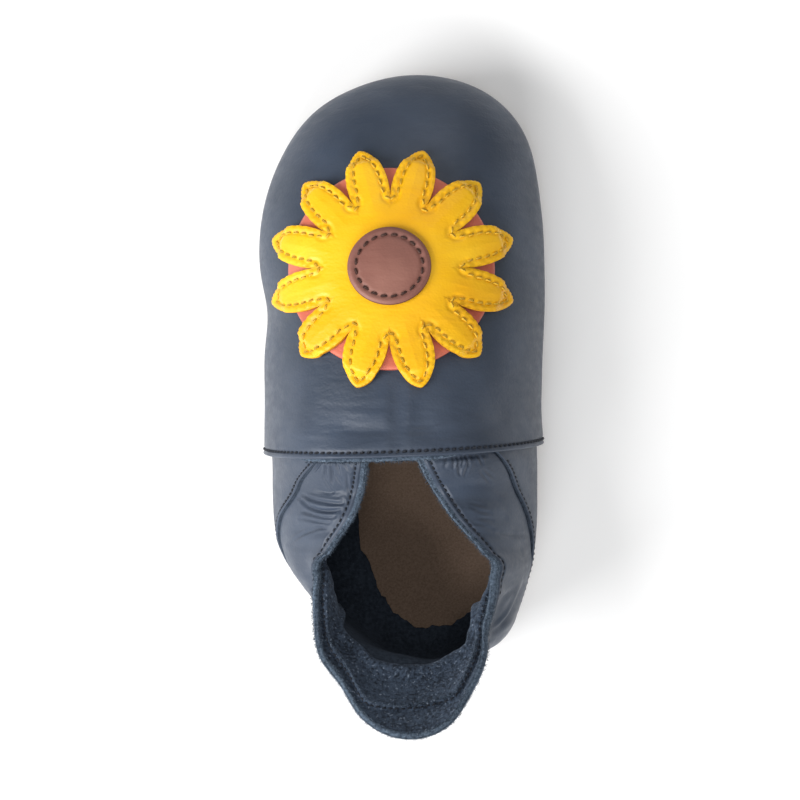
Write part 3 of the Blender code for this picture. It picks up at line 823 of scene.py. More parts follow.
ANKLE_CREASES = (
    # plan points of the crease from the camera's side, half width, depth
    (((-19.6, -11.9), (-15.0, -12.1), (-10.6, -12.1)), 0.45, 0.42),
    (((-17.7, -11.8), (-19.3, -13.2)), 0.28, 0.28),
    (((-16.6, -11.8), (-18.7, -14.4)), 0.28, 0.40),
    (((-15.8, -11.8), (-16.4, -15.6)), 0.26, 0.44),
    (((-17.2, -14.9), (-14.5, -18.9)), 0.24, 0.30),
    (((-14.9, -11.8), (-14.7, -17.0)), 0.28, 0.44),
    (((-13.9, -11.8), (-13.0, -15.0)), 0.26, 0.42),
    (((-15.2, -13.9), (-12.4, -17.6)), 0.22, 0.26),
    (((-12.4, -11.8), (-11.0, -14.4)), 0.28, 0.34),
    (((-11.6, -15.2), (-11.0, -19.2)), 0.28, 0.28),
    (((8.2, -11.9), (13.5, -11.4), (18.5, -10.9)), 0.45, 0.42),
    (((10.5, -11.7), (9.7, -13.6)), 0.28, 0.30),
    (((12.1, -11.5), (11.6, -13.6)), 0.26, 0.36),
    (((12.8, -11.4), (12.9, -15.0)), 0.26, 0.44),
    (((13.9, -11.3), (13.1, -15.2)), 0.24, 0.34),
    (((14.7, -11.3), (15.0, -13.1)), 0.28, 0.40),
    (((16.0, -11.2), (14.1, -15.5)), 0.26, 0.32),
    (((17.3, -11.1), (18.0, -12.9)), 0.28, 0.30),
    (((17.8, -14.6), (19.6, -16.8)), 0.34, 0.18),
    (((18.6, -14.2), (20.4, -15.6)), 0.34, 0.16),
    (((-21.4, -19.5), (-17.8, -20.8), (-13.6, -21.4), (-12.4, -20.8)), 0.36, 0.48),
    (((-21.0, -21.0), (-18.3, -22.7), (-15.3, -23.1), (-13.2, -22.7)), 0.38, 0.58),
    (((-20.8, -23.1), (-18.3, -24.0), (-15.7, -24.4), (-13.9, -23.8)), 0.36, 0.46),
    (((-21.4, -24.6), (-18.7, -25.0), (-16.2, -25.5), (-14.9, -24.8)), 0.34, 0.36),
    (((-23.5, -30.3), (-20.8, -28.0), (-18.3, -26.9), (-16.6, -26.7)), 0.29, 0.34),
    (((-20.0, -26.7), (-17.8, -26.4), (-16.2, -26.6)), 0.31, 0.26),
    (((-22.1, -20.0), (-20.4, -21.4)), 0.31, 0.28),
    (((-19.4, -17.6), (-16.0, -18.9), (-12.8, -18.4)), 0.39, 0.20),
    (((21.6, -27.7), (24.4, -28.3), (27.3, -28.0)), 0.40, 0.26),
    (((15.4, -21.4), (18.4, -21.9)), 0.36, 0.20),
    (((16.4, -23.0), (19.6, -23.4)), 0.36, 0.22),
    (((17.0, -24.4), (20.2, -24.9)), 0.36, 0.20),
    (((15.2, -22.2), (17.4, -22.6)), 0.30, 0.18),
    (((16.0, -25.6), (19.2, -26.0)), 0.30, 0.14),
    (((18.4, -26.6), (20.6, -27.0)), 0.34, 0.16),
    (((-19.7, -40.6), (-18.2, -41.8), (-16.6, -42.3)), 0.60, 0.12),
    (((-18.6, -46.0), (-17.2, -46.8), (-15.6, -47.1)), 0.60, 0.12),
    (((-20.6, -38.0), (-18.9, -39.2), (-17.3, -39.6)), 0.60, 0.12),
    (((24.6, -39.4), (22.0, -41.2), (20.2, -43.4)), 0.42, 0.24),
    (((24.0, -44.2), (21.8, -45.8), (20.4, -47.4)), 0.42, 0.24),
)


def eased(table, column, walk):
    """A column of a table along the walk, eased between its rows by Hermite cubics. Rows without a value
    are skipped."""
    table = np.array(table)
    table = table[~np.isnan(table[:, column])]
    walks, values = -table[:, 0], table[:, column]
    slopes = np.gradient(values, walks)
    at = np.clip(-walk, walks[0], walks[-1])
    i = np.clip(np.searchsorted(walks, at) - 1, 0, len(walks) - 2)
    width = walks[i + 1] - walks[i]
    t = (at - walks[i]) / width
    start = (1 + 2 * t) * values[i] + t * width * slopes[i]
    end = (3 - 2 * t) * values[i + 1] + (t - 1) * width * slopes[i + 1]
    return (1 - t) ** 2 * start + t * t * end


ankle_y, ankle_bearing, ankle_far = turn(
    (WING_FRONT_Y, HEEL_CENTRE_Y, 180, 180, 104),
    (HEEL_CENTRE_Y, HEEL_CENTRE_Y, 180, 360, 170),
    (HEEL_CENTRE_Y, WING_FRONT_Y, 360, 360, 104),
)
on_heel = np.abs(np.sin(ankle_bearing)) > 1e-9
along_wing = ankle_y - HEEL_CENTRE_Y
on_wing = np.where(np.cos(ankle_bearing) < 0, along_wing, -180.0 - along_wing)
walk = np.where(on_heel, 180.0 - np.degrees(ankle_bearing), on_wing)
full = ankle_far - LAP
collar_reach = eased(COLLAR, 1, walk)
upright = np.minimum(collar_reach, UPRIGHT_SHARE * full)
lean = collar_reach - upright
end_angle = np.arccos((upright / full) ** (SECTION_POWER / 2))
top_sine = np.sin(end_angle) ** (2 / SECTION_POWER)
under_vamp = smooth_step(HEM_Y - 10.0, HEM_Y - 1.0, ankle_y)
arch = ridge_height(ankle_y) - LAP - ANKLE_FOOT_Z
arch = under_vamp * arch + (1 - under_vamp) * (eased(COLLAR, 2, walk) - ANKLE_FOOT_Z) / top_sine
collar_z = ANKLE_FOOT_Z + arch * top_sine
seam_z = np.minimum(eased(PANEL_SEAM, 1, walk), collar_z - SEAM_UNDER_COLLAR)
lapped = smooth_step(HEM_Y + 3.0, HEM_Y, ankle_y)
step = PANEL_STEP * lapped * np.maximum(smooth_step(*STEP_OUTER, walk), smooth_step(*STEP_INNER, walk))
to_inner = smooth_step(*SEAM_STITCH_EASES, walk)
seam_stitch_in = SEAM_STITCH_IN_OUTER + (SEAM_STITCH_IN_INNER - SEAM_STITCH_IN_OUTER) * to_inner
seam_share = np.clip((seam_z - ANKLE_FOOT_Z) / arch, 0.0, 1.0)
seam_angle = np.minimum(np.arcsin(seam_share ** (SECTION_POWER / 2)), end_angle)
# Shares of the way up each panel, with rows crowded at the seam
below = np.concatenate([np.linspace(0.0, 0.955, BELOW_ROWS - 4), (0.972, 0.986, 0.995, 1.0)])
above = np.concatenate([(0.0, 0.004, 0.011, 0.021), np.linspace(0.033, 1.0, ABOVE_ROWS - 4)])
upper_start = seam_angle + LAP_EDGE_ANGLE
upper_angle = upper_start + above[:, None] * (end_angle - upper_start)
ankle_angle = np.concatenate([below[:, None] * seam_angle, upper_angle])
profile_z = ANKLE_FOOT_Z + arch * np.sin(ankle_angle) ** (2 / SECTION_POWER)
profile_out = tucked(full * np.cos(ankle_angle) ** (2 / SECTION_POWER), profile_z, ANKLE_FOOT_Z)
profile_out += lean * np.clip((profile_z - LEAN_START_Z) / (collar_z - LEAN_START_Z), 0.0, 1.0) ** 2
under_collar = collar_z - profile_z
drawn = np.maximum(eased(ELASTIC_DRAW, 1, walk), 0.0)
drawn = drawn * bell(under_collar - eased(ELASTIC_DRAW, 2, walk), ELASTIC_SPREAD)
profile_out -= drawn * smooth_step(0.0, 3.0, under_collar)
along_out = np.gradient(profile_out, axis=0)
along_z = np.gradient(profile_z, axis=0)
along = np.hypot(along_out, along_z)
normal_out = along_z / along
normal_z = -along_out / along
rise = np.zeros_like(profile_z)
rise[1:] = np.cumsum(np.hypot(np.diff(profile_out, axis=0), np.diff(profile_z, axis=0)), axis=0)
from_top = rise[-1] - rise
from_seam = rise - rise[BELOW_ROWS - 1]


def around(out, z):
    """Points from distances out of the spine and heights, at the ankle's stations."""
    x = SPINE_X + np.cos(ankle_bearing) * out
    y = ankle_y + np.sin(ankle_bearing) * out
    return np.stack([x, y, np.broadcast_to(z, x.shape)], axis=-1)


def offset_skin(offset):
    """The ankle's smooth skin moved out by an offset along its section's normal."""
    return around(profile_out + normal_out * offset, profile_z + normal_z * offset)


def crossing(field, level):
    """Row, and share of the way to the next row, where each column of a field first passes a level."""
    over = field - level
    row = np.argmax(over[:-1] * over[1:] <= 0, axis=0)
    column = np.arange(field.shape[1])
    here, beyond = over[row, column], over[row + 1, column]
    return row, here / np.where(here == beyond, 1.0, here - beyond)


def between_rows(grid, row, share):
    """Values of a grid between two neighbouring rows of each column."""
    column = np.arange(grid.shape[1])
    share = share.reshape(share.shape + (1,) * (grid.ndim - 2))
    return grid[row, column] * (1 - share) + grid[row + 1, column] * share


def averaged(values, count):
    """Each value as the mean of an odd count of neighbours, with the ends carried on."""
    return np.convolve(np.pad(values, count // 2, mode="edge"), np.ones(count) / count, mode="valid")


def wandering_wave(along, pitch, wander, length):
    """A sine of a given pitch whose phase wanders to and fro by another sine."""
    return np.sin(2 * math.pi * along / pitch + wander * np.sin(along / length))


ankle_skin = offset_skin(0.0)
path_mm = run_along(ankle_skin[-1])
# Where the casing's strip ends inside: along the collar's edge, and straight across the heel tab
strip_x, strip_y = seen_plan(offset_skin(-ANKLE_WALL - PANEL_STEP))
strip_line = STRIP_Y + STRIP_BOW * (strip_x / 10.0) ** 2
past_strip = on_heel & (strip_y[-1] < strip_line[-1] - 0.3)
strip_down = between_rows(from_top, *crossing(strip_y - strip_line, 0.0))
tab = averaged(np.maximum(strip_down * past_strip - CASING_TOP, 0.0), 5)
# The casing's lower edge: a U round the heel as the camera sees it, and CASING_WIDTH down along the wings
edge_x, edge_y = seen_plan(offset_skin(-CASING_WALL - PANEL_STEP))
past_side = (np.abs(edge_x - CASING_EDGE_X) / CASING_EDGE_HALF) ** CASING_EDGE_POWER
past_edge = past_side + (np.maximum(CASING_EDGE_Y - edge_y, 0.0) / CASING_EDGE_DEEP) ** CASING_EDGE_POWER
edge_down = between_rows(from_top[::-1], *crossing(past_edge[::-1], 1.0))
meets_edge = on_heel & (past_edge[-1] > 1.0) & (past_edge.min(axis=0) < 1.0)
casing_end = averaged(np.where(meets_edge, edge_down, CASING_WIDTH + tab), 25)
in_casing = smooth_step(CASING_TOP + tab - 0.7, CASING_TOP + tab, from_top)
in_casing = in_casing * smooth_step(casing_end + 1.0, casing_end - 1.0, from_top)
gathers = wandering_wave(path_mm, GATHER_PITCH, 1.3, 9.0) * smooth_step(*GATHERED_Y, ankle_y)
upper_panel = np.concatenate([np.zeros(BELOW_ROWS), np.ones(ABOVE_ROWS)])[:, None]
on_upper = upper_panel * lapped
on_lower = (1 - upper_panel) * lapped
ankle_relief = -step * upper_panel + GATHER_DEPTH * gathers * in_casing * ~on_heel
ankle_relief -= soft_line(from_seam, SEAM_DIP) * on_upper
ankle_relief += (soft_line(from_seam + 0.5, SEAM_LIP) - soft_line(from_seam, SEAM_CUT)) * on_lower
ankle_relief -= soft_line(from_seam + seam_stitch_in, SEAM_GROOVE) * on_lower
ankle_relief -= soft_line(from_top - COLLAR_STITCH_IN, COLLAR_GROOVE)
ankle_relief -= RAW_EDGE_THINNED * smooth_step(RAW_EDGE + 0.25, RAW_EDGE - 0.1, from_top)
over_foot = profile_z - ANKLE_FOOT_Z
creased = smooth_step(*CREASED_OVER_FOOT, over_foot) * smooth_step(*CREASED_UNDER_COLLAR, from_top)
ankle_relief += crease_relief(ankle_skin, ANKLE_CREASES + HEEL_SEAMS) * creased
standing = smooth_step(*STANDING_OVER_FOOT, over_foot) * smooth_step(*STANDING_UNDER_COLLAR, from_top)
ankle_relief += swell_relief(ankle_skin, ANKLE_SWELLS) * standing
ankle_outer = offset_skin(ankle_relief)
thickness = ANKLE_WALL + (CASING_WALL - ANKLE_WALL) * in_casing + PANEL_STEP
# The elastic draws the heel in along the casing's lower edge, so the wall below it stays in its shadow; that
# wall also takes the darker flat nap as painted shade
at_back = smooth_step(*CREST_OUTER, walk) * smooth_step(*CREST_INNER, walk)
thickness += ELASTIC_CREST * bell(from_top - casing_end + 1.0, ELASTIC_CREST_SPREAD) * at_back
folds = FOLD_DEPTH * wandering_wave(path_mm, FOLD_PITCH, 0.9, 11.0)
folds = folds * smooth_step(*FOLDED_UNDER_COLLAR, from_top)
from_strip = from_top - CASING_TOP - tab
inner_relief = -thickness + folds * ~on_heel - GATHER_DEPTH_INSIDE * gathers * in_casing
inner_relief += soft_line(from_strip + 0.45, STRIP_LIP) - soft_line(from_strip - 0.6, STRIP_GROOVE)
ankle_inner = offset_skin(inner_relief)


def end_caps(rows, last_row, columns):
    """Quads that close both ends of a folded grid, between each row and the one that lies behind it."""
    here = np.arange(rows - 1)
    behind = last_row - here
    cap = np.stack([here, here + 1, behind - 1, behind], axis=-1) * columns
    return np.concatenate([cap, cap + columns - 1])


edge_up = unit(np.stack([np.gradient(ankle_skin[..., axis], axis=0)[-1] for axis in range(3)], axis=-1))
collar_roll = rolled_edge(ankle_outer[-1], ankle_inner[-1], edge_up)
ankle_ring = np.concatenate([ankle_outer, collar_roll, ankle_inner[::-1]])
ankle_rows, ankle_columns = ankle_ring.shape[:2]
# Smooth grain outside, combed nap on the raw edge, loose nap on the casing, and the darker flat nap, partly
# painted shade, on the wall below the casing and on the lower panel's cut edge along the seam
# Below the casing's lower edge, set as the camera sees it, the wall inside takes the darker flat nap: painted
# shade where that wall lies in the dark
inside_kind = np.where(from_top > casing_end + 0.2, SHADED_FLAT_NAP, LOOSE_NAP)[::-1]
outside_kind = np.where(from_top < RAW_EDGE, CUT_EDGE, SMOOTH_GRAIN)
# The lower panel's cut edge at the lap takes the darker flat nap: a cut edge's own darker tone, and painted
# shade in the step
outside_kind[BELOW_ROWS - 1] = np.where(step > 0.1, SHADED_FLAT_NAP, SMOOTH_GRAIN)
ring_kind = np.concatenate([outside_kind, np.full((ROLL_STEPS, ankle_columns), CUT_EDGE), inside_kind])
ankle_ends = end_caps(BELOW_ROWS + ABOVE_ROWS, ankle_rows - 1, ankle_columns)
foot = np.arange(ankle_columns - 1)
foot_far = (ankle_rows - 1) * ankle_columns + foot
ankle_foot = np.stack([foot, foot + 1, foot_far + 1, foot_far], axis=-1)
ankle_quads = np.concatenate([quads_between(ankle_rows, ankle_columns), ankle_ends, ankle_foot])
end_faces = np.full(len(ankle_ends) + len(ankle_foot), LOOSE_NAP)
ankle_faces = np.concatenate([ring_kind[:-1, :-1].ravel(), end_faces])
# Flesh side worn flat against the foot: short nap with little contrast, dull navy, kept darker than the loose
# nap as painted shade where it lies deep inside: on the wall below the casing, the margin and the seam's cut
# edge
shaded_flat_suede = suede("flat_navy_suede_painted_shade", "#262D37", "#39424E", "#505B6A", nap_mm=0.8, bump_mm=0.1)
ankle_skins = [navy_nappa, navy_suede, shaded_flat_suede, napped_edge]
ankle = piece("ankle_leather", ankle_ring, ankle_quads, ankle_skins, ankle_faces)
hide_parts("upper")

# Turned-in margin
# The upper's own suede margin, left inside when the shoe was sewn and turned. It curves down from the
# wall's foot and lies on the insole, widest along the outer side, with a raw edge.

MARGIN_LIE = (
    # walk, reach of the raw edge from the spine
    (30.0, 11.0),
    (12.0, 10.0),
    (5.0, 9.5),
    (-15.0, 7.9),
    (-56.0, 9.7),
    (-77.0, 12.5),
    (-95.0, 15.9),
    (-122.0, 18.6),
    (-134.0, 19.5),
    (-148.0, 19.8),
    (-165.0, 20.0),
    (-180.0, 22.0),
    (-200.0, 24.0),
)
MARGIN_ROWS = 40
MARGIN_UP = 6.0
MARGIN_CURVE = 2.2
MARGIN_IN_WALL = 2.8
MARGIN_OVER_INSOLE = 0.9
MARGIN_LEATHER, MARGIN_EDGE_THINNED = 0.7, 0.3
MARGIN_FOLD_PITCH, MARGIN_FOLD = 8.0, 0.5
MARGIN_RAGGED = (
    # millimetres, waves in radians to the millimetre, phase
    (0.30, 0.43, 0.0),
    (0.16, 1.07, 0.5),
    (0.05, 2.6, 2.0),
)
margin_share = np.linspace(0.0, 1.0, MARGIN_ROWS)[:, None]
ragged_edge = (0.25 + 0.75 * smooth_step(-40.0, -70.0, walk)) * ragged(path_mm, MARGIN_RAGGED)
margin_start = ankle_far - MARGIN_IN_WALL
margin_out = margin_start + (eased(MARGIN_LIE, 1, walk) + ragged_edge - margin_start) * margin_share
margin_rise = MARGIN_UP * (1 - margin_share) ** MARGIN_CURVE
margin_wave = wandering_wave(path_mm, MARGIN_FOLD_PITCH, 1.1, 7.0)
margin_fold = MARGIN_FOLD * margin_wave * np.sin(math.pi * margin_share)
margin_top = insole_top + MARGIN_OVER_INSOLE + margin_rise + margin_fold * smooth_step(0.0, 2.0, margin_rise)
margin_bottom = margin_top - MARGIN_LEATHER + MARGIN_EDGE_THINNED * margin_share**8
margin_upper_skin = around(margin_out, margin_top)
margin_lower_skin = around(margin_out, margin_bottom)
margin_ring = np.concatenate([margin_upper_skin, margin_lower_skin[::-1], margin_upper_skin[:1]])
margin_ends = end_caps(MARGIN_ROWS, 2 * MARGIN_ROWS - 1, ankle_columns)
margin_quads = np.concatenate([quads_between(*margin_ring.shape[:2]), margin_ends])
# The margin takes the darker flat nap, partly painted shade of the shoe's deep inside
piece("turned_margin", margin_ring, margin_quads, [shaded_flat_suede])

# Topstitching of the hem, collar, heel tab and panel seams
# Dark bonded thread in lockstitch: each stitch arches over the leather and dips into its own hole.

HEM_PITCH = 1.45
HEM_THREAD = 0.26
COLLAR_PITCH = 1.3
COLLAR_THREAD = 0.20
STITCH_SHARE = 0.88
STITCH_SLANT = 7.0
STITCH_SINK = 0.1
STITCHED_BEHIND_HEM = 2.0
HEEL_MIDDLE = -90.0
STITCH_RINGS, STITCH_SIDES = 7, 6


def full_turn(count):
    """Angles of a full turn, its end not repeated."""
    return np.linspace(0.0, 2 * math.pi, count, endpoint=False)


def read_along(values, lengths, at):
    """Points or directions along a path, read at lengths along it."""
    return np.stack([np.interp(at, lengths, values[:, axis]) for axis in range(3)], axis=-1)


def copies(quads, points_each, count):
    """The quads of one small form, repeated for a count of them stored one after the other."""
    return (quads[None] + points_each * np.arange(count)[:, None, None]).reshape(-1, 4)


def stitch_row(name, path, normals, material, slot, pitch, radius):
    """Stitches spaced along a path: spindles, arched in the middle and slanted a little."""
    lengths = run_along(path)
    count = int(lengths[-1] / pitch)
    at = (np.arange(count) + 0.5) * lengths[-1] / count
    up = unit(read_along(normals, lengths, at))
    side = unit(np.cross(up, read_along(np.gradient(path, lengths, axis=0), lengths, at)))
    straight = unit(np.cross(side, up))
    slant = math.radians(STITCH_SLANT)
    ahead = straight * math.cos(slant) + side * math.sin(slant)
    side = side * math.cos(slant) - straight * math.sin(slant)
    t = np.linspace(-1.0, 1.0, STITCH_RINGS)[None, :, None, None]
    spin = full_turn(STITCH_SIDES)[None, None, :, None]
    girth = radius * np.sqrt(np.maximum(1 - t**4, 0.0))
    lift = radius * 0.8 * (1 - t**2) - (radius + STITCH_SINK) * t**4
    centre, up, ahead, side = (v[:, None, None, :] for v in (read_along(path, lengths, at), up, ahead, side))
    spine = centre + ahead * t * pitch * STITCH_SHARE / 2
    points = spine + up * (lift + girth * np.cos(spin)) + side * girth * np.sin(spin)
    one = quads_between(STITCH_RINGS, STITCH_SIDES, closed=True)
    uv = np.stack([np.broadcast_to(part[..., 0], points.shape[:3]) for part in (t, spin)], axis=-1)
    piece(name, points, copies(one, STITCH_RINGS * STITCH_SIDES, count), [material], uv=uv)


def thread(name, shade, body):
    """Twisted polyester thread: slanting plies with a soft shine, the grooves between them darker as painted
    shade.

    Real plies are about 0.1 mm wide, and are drawn as a few slanting bands to a stitch so that they show.
    """
    material, shader, place = new_finish(name, "UV")
    ply_depth_mm = 0.06
    plies = node(
        material,
        "ShaderNodeTexWave",
        {"Vector": place, "Scale": 0.8, "Distortion": 0.6},
        bands_direction="DIAGONAL",
    ).outputs["Fac"]
    # The ply grooves take the shade stop: painted shade between the plies, over the thread's dye
    dye = node(material, "ShaderNodeValToRGB", {"Fac": plies}, [(0.0, shade), (1.0, body)]).outputs["Color"]
    bump = node(material, "ShaderNodeBump", {"Height": plies, "Distance": ply_depth_mm * MM, "Strength": 1.0})
    wire(material, shader, {"Base Color": dye, "Normal": bump.outputs["Normal"], "Roughness": 0.6})
    return material


# Bonded polyester thread, dyed a little darker than the leather: dark dashes with a faint light on each arch
navy_thread = thread("navy_thread", "#12161F", "#232B3A")
hem_columns = HEM_STITCH_IN / (vamp_y[1] - vamp_y[0])
before_stitch = int(hem_columns)
stitch_share = hem_columns - before_stitch
hem_sides = [
    (1 - stitch_share) * side[:, before_stitch] + stitch_share * side[:, before_stitch + 1]
    for side in (vamp_outer[HEM_FIRST_ROW:], vamp_outer[HEM_FIRST_ROW:, ::-1])
]
hem_skin = np.concatenate([hem_sides[0], hem_sides[1][::-1]])
hem_normals = unit(np.cross(np.gradient(hem_skin, axis=0), (0.0, 1.0, 0.0)))
hem_normals *= np.sign((hem_normals * (hem_skin - (SPINE_X, 0.0, 10.0))).sum(axis=-1, keepdims=True))
stitch_row("hem_stitches", hem_skin, hem_normals, navy_thread, "navy_leather", HEM_PITCH, HEM_THREAD)

ankle_normals = unit(np.cross(np.gradient(ankle_outer, axis=1), np.gradient(ankle_outer, axis=0)))


def on_ankle(field, level, points, normals):
    """The line on the ankle's skin where a field falls through a level, with its normals."""
    line = crossing(field, level)
    return between_rows(points, *line), unit(between_rows(normals, *line))


behind_hem = ankle_y < HEM_Y - STITCHED_BEHIND_HEM
first_shown = np.argmax(behind_hem)
last_shown = ankle_columns - np.argmax(behind_hem[::-1])
shown = slice(first_shown, last_shown)
heel_back = np.argmax(walk < HEEL_MIDDLE)
collar_row = on_ankle(from_top, COLLAR_STITCH_IN, ankle_outer, ankle_normals)
casing_row = on_ankle(from_top, CASING_TOP + tab - 0.3, ankle_inner, -ankle_normals)
seam_row = on_ankle(
    from_seam[:BELOW_ROWS], -seam_stitch_in, ankle_outer[:BELOW_ROWS], ankle_normals[:BELOW_ROWS]
)
for name, (path, normals), run in (
    ("collar_stitches", collar_row, shown),
    ("casing_stitches", casing_row, shown),
    ("seam_stitches_outer", seam_row, slice(first_shown, heel_back)),
    ("seam_stitches_inner", seam_row, slice(heel_back, last_shown)),
):
    stitch_row(name, path[run], normals[run], navy_thread, "navy_leather", COLLAR_PITCH, COLLAR_THREAD)

# Fibres on the raw edges
# The suede's longest fibres stand off the collar's cut edge, the casing's strip and the hem's allowance.

FIBRES_PER_MM = 13.0
FIBRE_LONGEST = 0.95
FIBRE_ROOT = 0.15
FIBRE_SIDES = 3
FIBRE_SEED = 11
STRIP_FIBRES_FROM, STRIP_FIBRES_TO = -45.0, -135.0
ALLOWANCE_FIBRE_WAY = (0.0, -0.8, 0.4)


def fuzz(name, paths, material):
    """Fibres along paths of points and directions: thin three-sided spindles, bent at random."""
    chance = np.random.default_rng(FIBRE_SEED)
    strands = []
    for path, way in paths:
        lengths = run_along(path)
        at = chance.uniform(0.0, lengths[-1], int(lengths[-1] * FIBRES_PER_MM))
        root = read_along(path, lengths, at)
        out = read_along(way, lengths, at)
        out = unit(out + chance.normal(0.0, 0.6, out.shape))
        size = FIBRE_LONGEST * chance.uniform(0.25, 1.0, (len(at), 1)) ** 1.5
        knee = root + out * size * 0.5
        tip = knee + unit(out + chance.normal(0.0, 0.7, out.shape)) * size * 0.5
        side = unit(np.cross(out, chance.normal(0.0, 1.0, out.shape)))
        other = np.cross(out, side)
        girth = chance.uniform(0.03, 0.06, (len(at), 1))
        ring = [knee + girth * (side * math.cos(a) + other * math.sin(a)) for a in full_turn(FIBRE_SIDES)]
        foot_end = [root - out * FIBRE_ROOT] * FIBRE_SIDES
        strands.append(np.stack(foot_end + ring + [tip] * FIBRE_SIDES, axis=1))
    strands = np.concatenate(strands)
    one = quads_between(3, FIBRE_SIDES, closed=True)
    piece(name, strands, copies(one, 3 * FIBRE_SIDES, len(strands)), [material])


edge_outer = ankle_outer[-1][shown]
edge_inner = ankle_inner[-1][shown]
edge_normals = ankle_normals[-1][shown]
edge_way = edge_up[shown]
edge_crest = (edge_outer + edge_inner) / 2
edge_crest = edge_crest + edge_way * np.linalg.norm(edge_outer - edge_inner, axis=-1, keepdims=True) / 2
strip_path, strip_normals = on_ankle(from_top, CASING_TOP + tab + 0.1, ankle_inner, -ankle_normals)
at_heel = slice(np.argmax(walk < STRIP_FIBRES_FROM), np.argmax(walk < STRIP_FIBRES_TO))
strip_way = strip_normals[at_heel] + 0.5 * edge_up[at_heel]
hangs_out = hangs > 0.9 * HEM_FLESH_SHOWS
allowance_edge = allowance_lip[hangs_out]
fuzz(
    "edge_fibres",
    [
        (edge_outer, edge_normals + 0.6 * edge_way),
        (edge_crest, edge_way),
        (edge_inner, 0.8 * edge_way - edge_normals),
        (strip_path[at_heel], strip_way),
        (allowance_edge, np.tile(ALLOWANCE_FIBRE_WAY, (len(allowance_edge), 1))),
    ],
    napped_edge,
)

# Flower backing
# A round of coral leather under the petals, sewn flat on the vamp by the petals' stitching.

FLOWER_CENTRE = (-0.5, 27.6)
FLOWER_WRAP_RADIUS = 30.0
LEATHER = 1.0
BACKING_RADIUS = 23.0
BACKING_POINTS, BACKING_ROWS = 240, 24
BACKING_EDGE = (0.25, 0.35)
CUT_BULGE = 0.12


def vamp_height(x, y):
    """The vamp's skin over a point of the plan, from its superellipse sections."""
    spine_y = np.minimum(y, TOE_CENTRE_Y)
    bearing = np.arctan2(y - spine_y, x - SPINE_X)
    share = np.clip(np.hypot(x - SPINE_X, y - spine_y) / reach(spine_y, bearing), 0.0, 1.0)
    rise = (1 - share**SECTION_POWER) ** (1 / SECTION_POWER)
    return VAMP_FOOT_Z + (ridge_height(y) - VAMP_FOOT_Z) * rise + toe_spring(y)


def on_vamp(flat, lift):
    """Flat leather laid round the dome, and its normals: its plan shrinks as a sine of the radius, then it
    lifts off the skin."""
    radius = np.linalg.norm(flat, axis=-1)
    shrink = np.where(radius > 1e-6, FLOWER_WRAP_RADIUS * np.sin(radius / FLOWER_WRAP_RADIUS) / radius, 1.0)
    x = FLOWER_CENTRE[0] + flat[..., 0] * shrink
    y = FLOWER_CENTRE[1] + flat[..., 1] * shrink
    small = 0.4
    slope_x = (vamp_height(x + small, y) - vamp_height(x - small, y)) / (2 * small)
    slope_y = (vamp_height(x, y + small) - vamp_height(x, y - small)) / (2 * small)
    normals = unit(np.stack([-slope_x, -slope_y, np.ones_like(x)], axis=-1))
    return np.stack([x, y, vamp_height(x, y)], axis=-1) + normals * np.asarray(lift)[..., None], normals


def polar_flat(radius, angle):
    """Flat points from radii and angles."""
    return np.stack([radius * np.cos(angle), radius * np.sin(angle)], axis=-1)


def leather_round(name, edge, angle, rows, base, relief, materials, node_name):
    """A cut leather shape on the vamp: rings out to its edge on top, a rounded cut edge and a flat back."""
    radius = edge * np.sqrt(np.linspace(0.0, 1.0, rows))[:, None]
    flat = polar_flat(radius, angle)
    lift = LEATHER + relief(flat)
    top = on_vamp(flat, base(radius) + lift)[0]
    back = on_vamp(flat, base(radius))[0]
    down = np.array([[0.25], [0.5], [0.75]])
    cut_edge = polar_flat(edge + CUT_BULGE * np.sin(math.pi * down), angle)
    sides = on_vamp(cut_edge, base(edge) + lift[-1] * (1 - down))[0]
    ring = np.concatenate([top, sides, back[::-2], back[:1]])
    quads = quads_between(*ring.shape[:2], closed=True)
    edge_row = np.repeat(np.arange(ring.shape[0] - 1), ring.shape[1])
    made = piece(name, ring, quads, materials, (edge_row >= rows - 1).astype(int))
    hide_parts(node_name)


# Coral nappa, grain side up: a soft satin, with a darker, fibrous cut edge
coral_nappa = smooth_leather("coral_nappa", "#C4644F", "#CF6F59", "#DA7F68", roughness=0.5)
coral_cut = suede("coral_cut_edge", "#A24B3A", "#B55A47", "#C87560", nap_mm=0.3, bump_mm=0.05)
leather_round(
    "flower_backing_coral",
    np.full(BACKING_POINTS, BACKING_RADIUS),
    full_turn(BACKING_POINTS),
    BACKING_ROWS,
    lambda radius: np.full(np.shape(radius), GAP),
    lambda flat: -soft_line(BACKING_RADIUS - np.linalg.norm(flat, axis=-1), BACKING_EDGE),
    [coral_nappa, coral_cut],
    "flower_backing",
)

# Flower petals
# Twelve petals cut from one piece of yellow leather, lying on the backing and drooping past its edge,
# sewn down with yellow thread just inside their edges.

PETAL_COUNT = 12
PETAL_TIP = 30.0
DRAPE_START = BACKING_RADIUS + 1.2
DRAPE_END = BACKING_RADIUS + 4.0
PETAL_VALLEY = 15.5
PETAL_TIP_POWER = 1.4
PETAL_SIDE_POWER = 0.75
PETAL_STITCH_IN = 1.7
PETAL_PITCH = 2.0
PETAL_THREAD = 0.27
PETAL_POINTS, PETAL_ROWS = 60, 56
PETAL_EDGE = (0.28, 0.4)
PETAL_GROOVE = (0.24, 0.5)
PETAL_FULLNESS = 0.12

